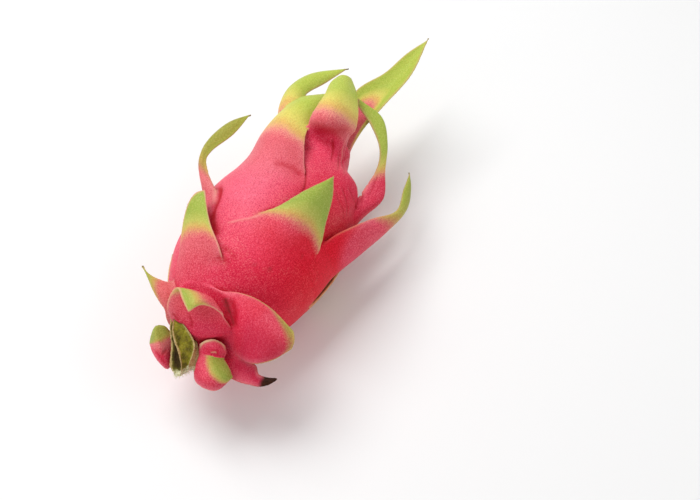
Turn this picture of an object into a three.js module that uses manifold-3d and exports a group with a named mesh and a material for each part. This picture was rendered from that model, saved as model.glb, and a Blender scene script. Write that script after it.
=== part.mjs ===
// A whole dragon fruit lying on its side: a swollen skin whose bracts (the pointed scales) grow out of it
// and end in straps, flaps and hooks, and the stub of the three-ribbed stem that it was cut with.
//
// Millimetres and degrees, +Z up. The fruit is laid along +X, from its stem to its crown.
// Inside this file a place on the fruit is a knot [height, turn, reach]:
//   height  along the fruit's axis, 0 at the stem and growing towards the crown
//   turn    about that axis, 0 at the top, 90 on the -Y side, 180 underneath
//   reach   distance from the axis; a knot without one lies just under the skin
import * as THREE from 'three';
import Module from 'manifold-3d';

const wasm = await Module();
wasm.setup();

// ---- driving dimensions -------------------------------------------------------------------------------

const AXIS_TILT = 6;          // the crown is propped up by this much, on two bracts underneath
const BELLY_PRESS = 0.8;      // how deep the soft belly is pressed flat where it rests
const SKIN_RINGS = 40;        // skin facets along the fruit
const SKIN_SIDES = 48;        // and around it
const BRACT_STATIONS = 9;     // facets along a bract
const BRACT_ACROSS = 7;       // points across one face of a bract
const SUNK_EDGE = 1.0;        // how deep a bract's margins start under the skin
const SUNK_RIDGE = 0.5;       // and its ridge
const ROOT_LENGTH = 6;        // the root that carries on under the skin
const EDGE_THICKNESS = 0.7;   // of a bract's margin
const BLADE_THICKNESS = 1.6;  // of its ridge near the tip
const BASE_THICKNESS = 4;     // added to the blade's at the base
const POINTED = 1.2;          // a bract narrower than this at its last station ends in a point
const BLUNT_END = 1.2;        // how far a blunt end bulges
const STUB_GAP = 0.3;         // between the stem stub and the fruit around it
const FINEST = 0.06;          // details smaller than this, left where surfaces cross, are dropped

// Outline of the bare skin, [height, radius], from the stem over the shoulder to the crown's navel.
const SKIN_OUTLINE = [
  [0, 0], [0.5, 5.5], [4, 12], [13, 20.5], [27, 30], [44, 36.8], [64, 39.2], [84, 37.4], [101, 31.8],
  [115, 24.6], [126, 18.8], [136, 15], [143.5, 12.8], [145, 10.4], [140, 7.6], [137, 3.5], [136.5, 0],
];

// Swellings of the skin under the big bracts: [height, turn, width, rise, length up, length down].
const SWELLINGS = [
  [66, 32, 46, 2, 34, 10], [40, -20, 44, 2, 30, 12], [92, -14, 50, 2, 30, 14],
  [120, 92, 38, 8.5, 36, 15], [26, 48, 44, 1.5, 22, 6], [74, 90, 40, 1.5, 30, 10],
  [52, 128, 40, 1.5, 30, 10], [48, -104, 40, 1.5, 30, 10], [78, -138, 38, 1.5, 30, 10],
  [96, -100, 34, 1.5, 30, 10], [82, 155, 38, 1.5, 30, 10], [80, 206, 38, 1.5, 30, 10],
];

// Bracts with a shape of their own: the knots of the left margin, the right margin and, on the broad ones,
// the ridge between them, from the base to the tip. Where no ridge is given, bow is its height over the
// chord between the margins, as a share of the chord. base and blade are thicknesses.
const SHAPED_BRACTS = [
  { // broad, on top, its tip standing clear of the fruit
    left: [[44, 8], [56, 4], [66, 5, 40.5], [77, 16, 42.5], [90, 24, 44.5], [107, 35, 47]],
    ridge: [[44, 32], [60, 32, 41.5], [76, 33, 44.5], [92, 34, 46.5], [107, 35, 47]],
    right: [[50, 54], [63, 62], [76, 61, 40.5], [86, 52, 42.5], [99, 43, 45], [107, 35, 47]],
  },
  { // broad, on the upper left, near the stem
    left: [[12, -44], [24, -46], [37, -42, 37], [52.6, -41, 46.4], [60.1, -38, 50.1],
      [64.4, -35, 50.6], [67, -33, 49]],
    ridge: [[16, -16], [32, -20, 35], [44, -24, 42], [57, -29, 47], [67, -33, 49]],
    right: [[22, 14], [34, 12], [43, -2, 41], [51, -15, 45], [67, -33, 49]],
  },
  { // horn, a narrow strap on the left that bends towards the crown
    left: [[58, -50], [71, -55, 41.5], [82, -59, 49], [90, -62, 54], [102, -65, 56], [117, -64, 53],
      [127, -58, 46]],
    right: [[54, -30], [70, -35, 39.5], [82, -50, 47], [90, -57, 51], [96, -58, 51], [111, -57, 47],
      [127, -58, 46]],
    bow: 0.3,
    base: 3,
  },
  { // the broadest, wrapped round the upper left of the neck
    left: [[74, -56], [85, -66, 37.5], [107, -61, 33.5], [122, -59, 35], [137, -59, 34],
      [152.3, -52, 30.3], [159.2, -44, 24.5], [166.2, -31, 18.1]],
    ridge: [[70, -16], [90, -18, 38.5], [106, -22, 36.5], [122, -30, 35.5], [137.6, -34, 34.1],
      [149.7, -33, 29.8], [158.2, -31, 23.8], [166.2, -31, 18.1]],
    right: [[84, 22], [101, 22, 32.5], [113, 9, 29.5], [127.6, -8, 27], [135.4, -13, 25.8],
      [143.6, -16, 24.9], [151.3, -19, 23.6], [158.6, -23, 21.6], [166.2, -31, 18.1]],
  },
  { // hood at the top of the neck, thick and rolled, with an overhanging lower edge
    left: [[112, 4], [122.5, -8, 18.8], [126.8, -14, 22.3], [130.4, -16, 24.8], [133.9, -13, 27.6],
      [137.4, -12, 30.9], [144.7, -13, 31.2], [154.6, -16, 29.4], [168, -28, 25.4], [176.3, -33, 21.8]],
    ridge: [[112, 30], [126.4, 27, 19.8], [133.8, 20, 19], [136.5, 17, 22.5], [138, 14, 29.5],
      [142.2, 11, 33.2], [151.3, 5, 32.2], [164.4, -4, 26.9], [177.7, -23, 21]],
    right: [[114, 62], [132.1, 64, 17.5], [140.4, 56, 15.5], [146, 45, 17.6], [149.4, 42, 21.4],
      [155.8, 34, 22.4], [164.6, 22, 20.1], [173.7, 2, 16.5], [179.6, -20, 16.4]],
    blade: 5,
  },
  { // arched, behind the broadest one
    left: [[112, -104], [128, -92, 25], [141, -70, 34], [149, -70, 37], [161, -73, 38], [176, -76, 33],
      [191, -66, 16]],
    right: [[110, -54], [128, -52, 25], [145, -50, 25], [152, -55, 26], [160, -62, 27], [174, -68, 22],
      [191, -66, 16]],
  },
  { // the longest, a straight blade beyond the crown
    left: [[122, -176], [138, -170, 16.5], [154, -150, 11], [184, -110, 7], [203, 107, 3],
      [220, 85, 8], [235, 84, 15]],
    right: [[124, 62], [136, 76, 15.5], [146, 94, 12], [162, 88, 12], [180, 84, 15], [206, 82, 19],
      [235, 84, 15]],
  },
  { // thin arch on the right of the neck, its tip behind the hood
    left: [[92, 70], [117, 92, 30.8], [131, 97, 30.6], [145.6, 96, 30.1], [154.3, 89, 26.2],
      [162.7, 71, 17], [168.8, 22, 10]],
    ridge: [[88, 98], [116.3, 100, 37.9], [131.1, 102, 40.7], [147, 100, 34.1], [158, 92, 28.6],
      [169.2, 76, 18.9], [172.2, 17, 11]],
    right: [[94, 128], [115.7, 120, 37.6], [133.2, 110, 41.6], [147, 104, 33.2], [160.9, 97, 27.8],
      [171.9, 81, 18.3], [172.1, 12, 9]],
    base: 9,
  },
  { // long, on the right side
    left: [[62, 62], [77, 63, 39.5], [86, 66, 41], [98, 76, 42], [113, 91, 44.5], [130, 104, 52],
      [145, 109, 49], [158, 112, 47]],
    right: [[60, 120], [80, 118, 42], [98, 112, 48], [118, 111, 54], [138, 112, 57], [150, 113, 53],
      [158, 112, 47]],
    bow: 0.2,
  },
  { // spur on the left of the stem end
    left: [[2, -38], [4.3, -42, 19.3], [8, -41, 24.9], [10.1, -46, 29.2], [13.9, -53, 34.5],
      [17.4, -55, 39.5], [21.1, -57, 45]],
    right: [[20, -44], [23.4, -46, 28.6], [21.2, -48, 31.1], [20.5, -51, 33.8], [19.9, -53, 36.8],
      [20, -55, 40.8], [21.1, -57, 45]],
    bow: 0.2,
    base: 5,
  },
  { // folded over at the stem end, its tip hanging back towards the stem
    left: [[3, -22, 17], [7.2, -27, 27.9], [11.9, -22, 33.7], [14.6, -18, 36.5], [15, -12, 38.8],
      [10.6, -2, 41.4], [6.5, 7, 42.7]],
    ridge: [[5.2, 27, 20.2], [11.2, 20, 30], [15.9, 14, 35], [17.9, 10, 38.3], [15.8, 8, 41.5],
      [11.8, 7, 43.6], [6.5, 7, 42.7]],
    right: [[14.3, 50, 26.3], [14.8, 43, 29.9], [15, 33, 34.4], [15.3, 24, 37.8], [14, 15, 41],
      [11.3, 10, 43.1], [6.5, 7, 42.7]],
    base: 2.5,
  },
  { // blunt flap at the stem end, reaching out to the right
    left: [[15, -42], [22.9, -21, 29.2], [25.9, 1, 31.2], [26.3, 16, 34], [29.5, 27, 36.5],
      [31.8, 39, 39.1], [32.2, 53, 42.9], [29.7, 69, 50.6]],
    ridge: [[12, 15, 20], [15.6, 24, 23.2], [17.4, 32, 27.5], [17.7, 39, 32.9], [17.6, 46, 38.7],
      [18.4, 52, 44], [21.2, 60, 49.5], [25.4, 69, 53.9]],
    right: [[8, 80], [8.1, 75, 19.8], [7.9, 73, 25], [6.2, 69, 31.5], [5.1, 67, 38.6], [6.5, 67, 44.7],
      [12.4, 70, 49.7], [21.6, 73, 53.2]],
  },
  { // little cap between the flap and the right lobe
    left: [[2.5, 60, 9], [-0.5, 46, 13.7], [2, 30, 15.9]],
    ridge: [[-0.5, 62, 19.5], [2.2, 46, 22.8], [6.6, 38, 21.4]],
    right: [[2, 70, 22.5], [5.7, 64, 24.1], [8.2, 57, 23.4]],
    base: 2,
  },
  { // low flap at the stem end, dried at its tip
    left: [[11, 72], [9.1, 74, 26], [8, 75, 33], [7.6, 76, 39], [4.4, 77, 42.4], [5.3, 80, 46.1],
      [7.7, 83, 49.6]],
    right: [[3, 92], [-2.7, 85, 25.1], [-2.9, 83, 34.2], [-1.8, 83, 39.5], [-0.5, 84, 43.5],
      [2.4, 85, 46.9], [6.1, 85, 49.3]],
    base: 3,
  },
  { // round lobe beside the stem, left
    left: [[2, -63, 12], [3, -54, 18], [0, -54, 22], [-5, -56, 21], [-9, -58, 19]],
    ridge: [[1, -34, 8], [-8, -23, 16], [-9, -29, 19], [-9, -44, 19], [-9, -57, 19]],
    right: [[-3, -45, 4], [-15, -16, 6], [-15, -33, 11], [-12, -50, 16], [-9, -57, 19]],
    base: 3,
  },
  { // round lobe beside the stem, right
    left: [[4, 66, 12], [3, 66, 21], [0, 71, 27], [-3, 76, 30]],
    ridge: [[1, 65, 10], [-6, 57, 21], [-8, 60, 27], [-7, 68, 30], [-3, 76, 30]],
    right: [[-1, 81, 9], [-12, 72, 14], [-14, 72, 21], [-12, 76, 27], [-3, 76, 30]],
    blade: 2,
  },
];

// Plain bracts of the back and the underside, all of one pattern.
const PLAIN_BRACTS = [
  { height: 48, turn: 128, long: 44, wide: 42, lift: 9, lean: -6 },
  { height: 44, turn: -104, long: 46, wide: 42, lift: 9, lean: 8 },
  { height: 74, turn: -138, long: 46, wide: 38, lift: 14, lean: 6 },
  { height: 92, turn: -100, long: 42, wide: 34, lift: 12, lean: 4 },
  { height: 78, turn: 155, long: 26, wide: 40, lift: 14.5, lean: 2, waist: 0.8 },    // prop
  { height: 76, turn: 206, long: 26, wide: 40, lift: 14.5, lean: -2, waist: 0.8 },    // prop
  { height: 36, turn: 180, long: 36, wide: 42, lift: 1.5, lean: 0 },
  { height: 16, turn: -108, long: 30, wide: 32, lift: 9, lean: 4 },
  { height: 18, turn: 140, long: 30, wide: 32, lift: 5, lean: 6 },
  { height: 14, turn: -150, long: 26, wide: 30, lift: 3, lean: 0 },
  { height: 108, turn: 152, long: 33, wide: 30, lift: 9, lean: 4 },
  { height: 112, turn: -145, long: 46, wide: 30, lift: 14, lean: -8 },
  { height: 122, turn: -105, long: 44, wide: 24, lift: 14, lean: 10, waist: 0.5 },
];
const PLAIN_WAIST = 0.55;     // how much of its width a plain bract keeps at its waist
const PLAIN_STEPS = 5;        // knots along it, after the one at its base
const PLAIN_FOOT = 0.45;      // how far its base lies behind its height, as a share of its width
const CROWN_HEIGHT = 143;     // where the skin turns in to the navel

// The stem stub's ribs in order round it, from the fruit's shoulder across the pole to the torn end: the
// left, front and right ribs, the flap of rind beside them, and the back.
const STUB = {
  left: [[9.3, -43, 20.1], [4.3, -28, 21.2], [0.2, -23, 19.7], [-2.7, -19, 17.3], [-6.1, -14, 14.7],
    [-10.3, -7, 12.6], [-14, 2, 10.9], [-17.3, 23, 9.6]],
  front: [[10.7, -37, 20.3], [4.8, -20, 22.7], [0, -14, 22.1], [-3.6, -6, 20.5], [-6.4, 4, 19.5],
    [-9.5, 15, 18.8], [-12.4, 25, 17.1], [-15.9, 35, 14.2]],
  right: [[11.5, -31, 17.9], [6.1, -10, 21.1], [4.5, 1, 19.8], [2.7, 13, 18.6], [0.3, 24, 17.9],
    [-3.7, 30, 17.4], [-7.9, 34, 16.5], [-11.9, 42, 14.3]],
  flap: [[12.2, -31, 13.4], [7.8, -6, 13.6], [5.3, 11, 13.1], [2.7, 27, 13.2], [-0.2, 39, 14],
    [-3.4, 47, 15.2], [-6.8, 53, 15.4], [-10.1, 56, 14.7]],
  back: [[11.9, -49, 12.3], [8.3, -45, 8.6], [5.7, -44, 5.2], [3.4, -31, 1.5], [1.1, 107, 1.7],
    [-3.1, 98, 3.2], [-7.3, 91, 3.7], [-12.2, 74, 3.7]],
};
const STUB_STATIONS = 7;
const STUB_FLUTE = 1.0;       // how deep its faces are hollowed between the ribs
const STUB_BULGE = 0.8;       // how far its two ends bulge

// ---- curves and solids --------------------------------------------------------------------------------

const radians = THREE.MathUtils.degToRad;
const smooth = (x) => THREE.MathUtils.smoothstep(x, 0, 1);

// n points along a centripetal curve, shared out by the length of its control polygon.
function along(points, n) {
  const curve = new THREE.CatmullRomCurve3(points, false, 'centripetal');
  const reach = [0];
  for (let i = 1; i < points.length; i += 1) reach.push(reach[i - 1] + points[i].distanceTo(points[i - 1]));
  const last = points.length - 1;
  return Array.from({ length: n }, (_, k) => {
    const target = (reach[last] * k) / (n - 1);
    let i = 0;
    while (i < last - 1 && reach[i + 1] < target) i += 1;
    const share = (target - reach[i]) / (reach[i + 1] - reach[i]);
    return curve.getPoint(Math.min(1, (i + share) / last));
  });
}

// A closed solid from points and triangles, turned so that its faces point outwards.
function solid(points, faces) {
  const build = (triangles) => new wasm.Manifold(new wasm.Mesh({
    numProp: 3,
    vertProperties: new Float32Array(points.flatMap((p) => [p.x, p.y, p.z])),
    triVerts: new Uint32Array(triangles.flat()),
  }));
  const made = build(faces);
  return made.volume() > 0 ? made : build(faces.map(([a, b, c]) => [a, c, b]));
}

// A solid through closed rings of equal length, each end closed onto one point.
function loft(rings, start, end) {
  const n = rings[0].length;
  const points = [...rings.flat(), start, end];
  const faces = [];
  for (let j = 0; j < n; j += 1) {
    const k = (j + 1) % n;
    faces.push([points.length - 2, k, j]);
    for (let i = 0; i + 1 < rings.length; i += 1) {
      faces.push([i * n + j, i * n + k, (i + 1) * n + k], [i * n + j, (i + 1) * n + k, (i + 1) * n + j]);
    }
    faces.push([points.length - 1, (rings.length - 1) * n + j, (rings.length - 1) * n + k]);
  }
  return solid(points, faces);
}

function centre(points) {
  return points.reduce((sum, p) => sum.add(p), new THREE.Vector3()).divideScalar(points.length);
}

// ---- skin ---------------------------------------------------------------------------------------------

const OUTLINE_POINTS = 400;
const outline = along(SKIN_OUTLINE.map(([h, r]) => new THREE.Vector3(h, r, 0)), OUTLINE_POINTS);
const rim = outline.reduce((best, p, i) => (p.x > outline[best].x ? i : best), 0);
const shoulder = outline.slice(0, rim + 1);

// Radius of the bare skin at a height.
function skinRadius(height) {
  const i = shoulder.findIndex((p) => p.x >= height);
  if (i === 0) return 0;
  if (i < 0) return shoulder[shoulder.length - 1].y;
  const [a, b] = [shoulder[i - 1], shoulder[i]];
  return a.y + ((b.y - a.y) * (height - a.x)) / (b.x - a.x);
}

// The point of a knot; one with no reach lies sunk under the skin.
function place([height, turn, reach], sunk = 0) {
  const r = reach ?? skinRadius(Math.max(0.5, height)) - sunk;
  return new THREE.Vector3(height, r * Math.sin(radians(turn)), r * Math.cos(radians(turn)));
}

// How far the skin swells out at a height and a turn in radians.
function swelling(height, turn) {
  return SWELLINGS.reduce((sum, [middle, facing, width, rise, up, down]) => {
    const away = THREE.MathUtils.euclideanModulo(turn - radians(facing) + Math.PI, 2 * Math.PI) - Math.PI;
    const across = (away * Math.max(8, skinRadius(middle))) / (width / 2);
    const step = smooth(height < middle ? 1 + (height - middle) / up : 1 - (height - middle) / down);
    return sum + rise * step * Math.exp(-1.1 * across * across);
  }, 0);
}

function skinSolid() {
  const line = along(SKIN_OUTLINE.map(([h, r]) => new THREE.Vector3(h, r, 0)), SKIN_RINGS);
  const edge = line.reduce((best, p, i) => (p.x > line[best].x ? i : best), 0);
  const rings = line.slice(1, -1).map((p, k) => {
    const slope = new THREE.Vector3().subVectors(line[k + 2], line[k]).normalize();
    const fade = k + 1 <= edge ? smooth(p.y / 12) : 0;
    return Array.from({ length: SKIN_SIDES }, (_, j) => {
      const turn = (2 * Math.PI * j) / SKIN_SIDES;
      const out = fade * swelling(p.x, turn);
      const r = p.y + out * slope.x;
      return new THREE.Vector3(p.x - out * slope.y, r * Math.sin(turn), r * Math.cos(turn));
    });
  });
  return loft(rings, new THREE.Vector3(line[0].x, 0, 0), new THREE.Vector3(line[line.length - 1].x, 0, 0));
}

// ---- bracts -------------------------------------------------------------------------------------------

// Across a bract, -1 at the left margin and 1 at the right, closer together near the margins.
const ACROSS = Array.from(
  { length: BRACT_ACROSS },
  (_, j) => Math.sin(Math.PI * (j / (BRACT_ACROSS - 1) - 0.5)),
);

// Ridge points of a bract that gives only its margins, bowed out from the chord between them.
function bowedRidge(left, right, bow) {
  const middle = left.map((p, i) => p.clone().add(right[i]).multiplyScalar(0.5));
  const width = left.map((p, i) => p.distanceTo(right[i]));
  const round = Math.max(9, skinRadius(middle[0].x));
  const half = Math.min(0.98, width[0] / 2 / round);
  const baseBow = (round * (1 - Math.sqrt(1 - half * half))) / width[0] + 0.04;
  let across = null;
  let facing = 0;
  return middle.map((p, i) => {
    if (!across || width[i] > 1.5) across = right[i].clone().sub(left[i]).normalize();
    const ahead = middle[Math.min(i + 1, middle.length - 1)].clone().sub(middle[Math.max(i - 1, 0)]);
    const out = across.clone().cross(ahead).normalize();
    if (!facing) facing = Math.sign(out.y * p.y + out.z * p.z);
    const share = smooth(i / (middle.length - 1) / 0.4);
    return p.clone().addScaledVector(out, facing * width[i] * (baseBow * (1 - share) + bow * share));
  });
}

// Outer-face points of a bract, station by station, and the share of its length at each.
function bractFace(bract) {
  const left = along(bract.left.map((k) => place(k, SUNK_EDGE)), BRACT_STATIONS);
  const right = along(bract.right.map((k) => place(k, SUNK_EDGE)), BRACT_STATIONS);
  const ridge = bract.ridge
    ? along(bract.ridge.map((k) => place(k, SUNK_RIDGE)), BRACT_STATIONS)
    : bowedRidge(left, right, bract.bow ?? 0.25);
  const face = ridge.map((c, i) => {
    const half = right[i].clone().sub(left[i]).multiplyScalar(0.5);
    const drop = left[i].clone().add(right[i]).multiplyScalar(0.5).sub(c);
    return ACROSS.map((q) => c.clone().addScaledVector(half, q).addScaledVector(drop, q * q));
  });
  return [...bractRoot(face[0], ridge), ...face];
}

// Two stations of root, straight back from the base and kept well under the skin.
function bractRoot(base, ridge) {
  const out = new THREE.Vector3(0, ridge[0].y, ridge[0].z).normalize();
  const ahead = ridge[1].clone().sub(ridge[0]).normalize();
  const back = ahead.addScaledVector(out, -Math.min(0, ahead.dot(out))).normalize();
  return [[1, 2.6], [0.5, 1.6]].map(([share, sunk]) => base.map((p) => {
    const q = p.clone().addScaledVector(back, -ROOT_LENGTH * share);
    q.x = Math.max(q.x, 2.5);
    const deepest = Math.max(1, skinRadius(q.x) - sunk);
    const reach = Math.hypot(q.y, q.z);
    if (reach > deepest) q.set(q.x, (q.y * deepest) / reach, (q.z * deepest) / reach);
    return q;
  }));
}

// Outward normals of a bract's face; where the margins meet, the last clear ones carry on.
function faceNormals(face) {
  const width = face.map((row) => row[0].distanceTo(row[row.length - 1]));
  const normals = [];
  face.forEach((row, i) => {
    if (i > 0 && width[i] < 1.2) {
      normals.push(normals[i - 1]);
      return;
    }
    const [below, above] = [face[Math.max(i - 1, 0)], face[Math.min(i + 1, face.length - 1)]];
    normals.push(row.map((_, j) => {
      const across = row[Math.min(j + 1, row.length - 1)].clone().sub(row[Math.max(j - 1, 0)]);
      return across.cross(above[j].clone().sub(below[j])).normalize();
    }));
  });
  const base = 3;
  const middle = Math.floor(BRACT_ACROSS / 2);
  const facing = normals[base][middle].dot(new THREE.Vector3(0, face[2][middle].y, face[2][middle].z));
  if (facing < 0) normals.forEach((row) => row.forEach((n) => n.negate()));
  return normals;
}

function bractSolid(bract) {
  const face = bractFace(bract);
  const normals = faceNormals(face);
  const rootStations = face.length - BRACT_STATIONS;
  const rings = face.map((row, i) => {
    const share = Math.max(0, (i - rootStations) / (BRACT_STATIONS - 1));
    const ridge = (bract.base ?? BASE_THICKNESS) * (1 - share) ** 2
      + (bract.blade ?? BLADE_THICKNESS) * (1 - 0.35 * share);
    const inner = row.map((p, j) => {
      const thickness = EDGE_THICKNESS + (ridge - EDGE_THICKNESS) * (1 - Math.abs(ACROSS[j]) ** 2.2);
      return p.clone().addScaledVector(normals[i][j], -thickness);
    });
    return [...row, ...inner.reverse()];
  });
  const tip = centre(rings[rings.length - 1]);
  const blunt = rings[rings.length - 1][0].distanceTo(rings[rings.length - 1][BRACT_ACROSS - 1]);
  if (blunt < POINTED) return loft(rings.slice(0, -1), centre(rings[0]), tip);
  const onward = tip.clone().sub(centre(rings[rings.length - 2])).normalize();
  return loft(rings, centre(rings[0]), tip.addScaledVector(onward, BLUNT_END));
}

// The knots of a plain bract, from where and how big it is.
function plainBract({ height, turn, long, wide, lift, lean, waist = PLAIN_WAIST }) {
  const start = height - PLAIN_FOOT * wide;
  const baseRadius = skinRadius(Math.max(start, 1));
  const first = THREE.MathUtils.radToDeg(wide / 2 / skinRadius(Math.max(start, 1)));
  const knots = {
    left: [[start - 3, turn - first]],
    ridge: [[start - 4, turn]],
    right: [[start - 3, turn + first]],
  };
  for (let i = 1; i <= PLAIN_STEPS; i += 1) {
    const s = i / PLAIN_STEPS;
    const h = start + (long + PLAIN_FOOT * wide) * s;
    const facing = turn + lean * s * s;
    const skin = skinRadius(THREE.MathUtils.clamp(h, 1, CROWN_HEIGHT));
    const drawnIn = 1.2 * (1 - waist) * smooth(1.3 * s) * (1 - s);
    const width = wide * (1 - s) ** 0.85 * (1 - drawnIn);
    const freed = lift + Math.max(0, 0.25 * (baseRadius - skin));
    const reach = skin + freed * s ** 1.6;
    const half = THREE.MathUtils.radToDeg(Math.atan2(width / 2, reach));
    const edge = reach - (0.15 * (width / 2) ** 2) / reach - SUNK_EDGE * (1 - smooth(s / 0.35));
    knots.left.push([h, facing - half, edge]);
    knots.ridge.push([h + 0.05 * width, facing, reach + 0.5 * Math.min(1, 3 * s)]);
    knots.right.push([h, facing + half, edge]);
  }
  return knots;
}

// ---- stem stub ----------------------------------------------------------------------------------------

// The stub, its faces hollowed between the ribs; grow makes it thicker all round.
function stubSolid(grow = 0) {
  const rails = Object.values(STUB).map((knots) => along(knots.map((k) => place(k)), STUB_STATIONS));
  const rings = rails[0].map((_, i) => {
    const corners = rails.map((rail) => rail[i]);
    const middle = centre(corners);
    const ring = corners.flatMap((p, k) => {
      const between = p.clone().add(corners[(k + 1) % corners.length]).multiplyScalar(0.5);
      const inward = middle.clone().sub(between).normalize();
      return [p.clone(), between.addScaledVector(inward, STUB_FLUTE)];
    });
    return ring.map((p) => p.addScaledVector(p.clone().sub(middle).normalize(), grow));
  });
  const cap = (ring, before) => {
    const end = centre(ring);
    const onward = end.clone().sub(centre(before)).normalize();
    return end.addScaledVector(onward, STUB_BULGE + grow);
  };
  const last = rings.length - 1;
  return loft(rings, cap(rings[0], rings[1]), cap(rings[last], rings[last - 1]));
}

// ---- assembly -----------------------------------------------------------------------------------------

// Lays a solid of the fruit's own frame on its side: height along +X, turn 0 up, the crown propped up.
function laid(made) {
  const tilt = radians(AXIS_TILT);
  const matrix = new THREE.Matrix4().makeBasis(
    new THREE.Vector3(Math.cos(tilt), 0, Math.sin(tilt)),
    new THREE.Vector3(0, -1, 0),
    new THREE.Vector3(-Math.sin(tilt), 0, Math.cos(tilt)),
  );
  return made.transform(matrix.elements);
}

// The biggest closed surface of a solid alone, so hollows sealed in by the fusing are filled.
function outerBody(made) {
  const bodies = made.decompose();
  return bodies.reduce((best, body) => (body.volume() > best.volume() ? body : best));
}

// A box far bigger than the fruit, whose top is at the given level.
function below(level) {
  const size = 600;
  const box = new THREE.BoxGeometry(size, size, size).translate(0, 0, level - size / 2);
  const corners = [];
  const index = new Map();
  const position = box.attributes.position;
  const found = Array.from({ length: position.count }, (_, i) => {
    const p = new THREE.Vector3().fromBufferAttribute(position, i);
    const key = p.toArray().join();
    if (!index.has(key)) {
      index.set(key, corners.length);
      corners.push(p);
    }
    return index.get(key);
  });
  const faces = [];
  for (let i = 0; i < box.index.count; i += 3) {
    faces.push([0, 1, 2].map((k) => found[box.index.getX(i + k)]));
  }
  return solid(corners, faces);
}

function meshOf(made, name, material) {
  const { vertProperties, triVerts } = made.getMesh();
  const geometry = new THREE.BufferGeometry();
  geometry.setAttribute('position', new THREE.BufferAttribute(vertProperties, 3));
  geometry.setIndex(new THREE.BufferAttribute(triVerts, 1));
  const mesh = new THREE.Mesh(geometry, material);
  mesh.name = name;
  return mesh;
}

const bare = skinSolid();
const bracts = [...SHAPED_BRACTS, ...PLAIN_BRACTS.map(plainBract)].map(bractSolid);
const whole = laid(bracts.reduce((sum, bract) => sum.add(bract), bare).subtract(stubSolid(STUB_GAP)));
const belly = laid(bare).boundingBox().min[2];
const floor = belly + BELLY_PRESS;
const fruit = outerBody(whole.subtract(below(floor)).asOriginal().simplify(FINEST));
const stub = laid(stubSolid());

const skinMaterial = new THREE.MeshStandardMaterial({ color: 0xd9304f, roughness: 0.5, metalness: 0 });
const stemMaterial = new THREE.MeshStandardMaterial({ color: 0x6f7a35, roughness: 0.8, metalness: 0 });

const group = new THREE.Group();
group.add(meshOf(fruit, 'fruit', skinMaterial), meshOf(stub, 'stem_stub', stemMaterial));

// The frame's origin is under the middle of the fruit's box, on the surface that it lies on.
const box = new THREE.Box3().setFromObject(group);
const middle = box.getCenter(new THREE.Vector3());
group.position.set(-middle.x, -middle.y, -box.min.z);

export default group;
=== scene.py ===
from math import cos, pi, radians, sin

import bmesh
import bpy
import numpy as np
import openvdb
from mathutils import Matrix, Vector, kdtree


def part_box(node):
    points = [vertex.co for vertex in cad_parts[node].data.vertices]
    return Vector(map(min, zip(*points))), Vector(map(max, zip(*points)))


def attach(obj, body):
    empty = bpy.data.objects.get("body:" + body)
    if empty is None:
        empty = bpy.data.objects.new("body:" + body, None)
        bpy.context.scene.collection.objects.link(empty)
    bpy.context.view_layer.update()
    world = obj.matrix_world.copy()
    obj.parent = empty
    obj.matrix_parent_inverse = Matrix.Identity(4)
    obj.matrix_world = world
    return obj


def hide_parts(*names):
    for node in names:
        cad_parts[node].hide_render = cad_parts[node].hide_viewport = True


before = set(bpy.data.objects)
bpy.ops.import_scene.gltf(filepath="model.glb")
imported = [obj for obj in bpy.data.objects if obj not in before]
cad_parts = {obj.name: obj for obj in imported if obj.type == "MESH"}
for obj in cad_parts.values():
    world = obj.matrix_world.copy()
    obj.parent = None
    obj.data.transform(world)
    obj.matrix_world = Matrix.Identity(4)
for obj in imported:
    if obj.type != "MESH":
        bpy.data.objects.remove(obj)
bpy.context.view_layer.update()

# ---- Skin --------------------------------------------------------------------------------------------
# The bare fruit: a thick leathery skin over solid flesh, swollen under every bract, with a neck and a
# sunken navel where the flower fell off. It is grown in one piece, so it is made as one closed surface.
# A place on the fruit is a knot [height, turn, reach]: millimetres along the fruit's axis from the stem,
# degrees about that axis from the top (90 on the -Y side), and millimetres from the axis.

AXIS_TILT = 6.0                       # degrees: the crown is propped up on two bracts
SET_DOWN = (-107.66, 1.40, 32.10)     # mm, where the stem end comes to stand: x, y and above the floor

SKIN_OUTLINE = [
    (0, 0), (0.5, 5.5), (4, 12), (13, 20.5), (27, 30), (44, 36.8), (64, 39.2), (84, 37.4), (101, 31.8),
    (115, 24.6), (126, 18.8), (136, 15), (143.5, 12.8), (145, 10.4), (140, 7.6), (137, 3.5), (136.5, 0),
]
SKIN_RINGS = 240
SKIN_SIDES = 260
LEAST_RADIUS = 8.0      # mm, the body's under a swelling, however near the stem that stands
SWELLING_FALL = 1.1     # how quickly a swelling falls off across its width
POLE_FADE = 12.0        # mm from the axis, within which the swellings die out

# the body swells under its larger bracts: height, turn, width, rise, length up, length down
SWELLINGS = [
    (66, 32, 46, 2, 34, 10), (40, -20, 44, 2, 30, 12), (92, -14, 50, 2, 30, 14), (120, 92, 38, 8.5, 36, 15),
    (26, 48, 44, 1.5, 22, 6), (74, 90, 40, 1.5, 30, 10), (52, 128, 40, 1.5, 30, 10),
    (48, -104, 40, 1.5, 30, 10), (78, -138, 38, 1.5, 30, 10), (96, -100, 34, 1.5, 30, 10),
    (82, 155, 38, 1.5, 30, 10), (80, 206, 38, 1.5, 30, 10),
]


def smooth(x):
    """0 below 0, 1 above 1, and an easy S between them."""
    x = np.clip(x, 0, 1)
    return x * x * (3 - 2 * x)


def rises(value, start, over):
    """0 up to a start, and 1 so far beyond it; where over is below 0, beyond is the other way."""
    return smooth((value - start) / over)


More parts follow.
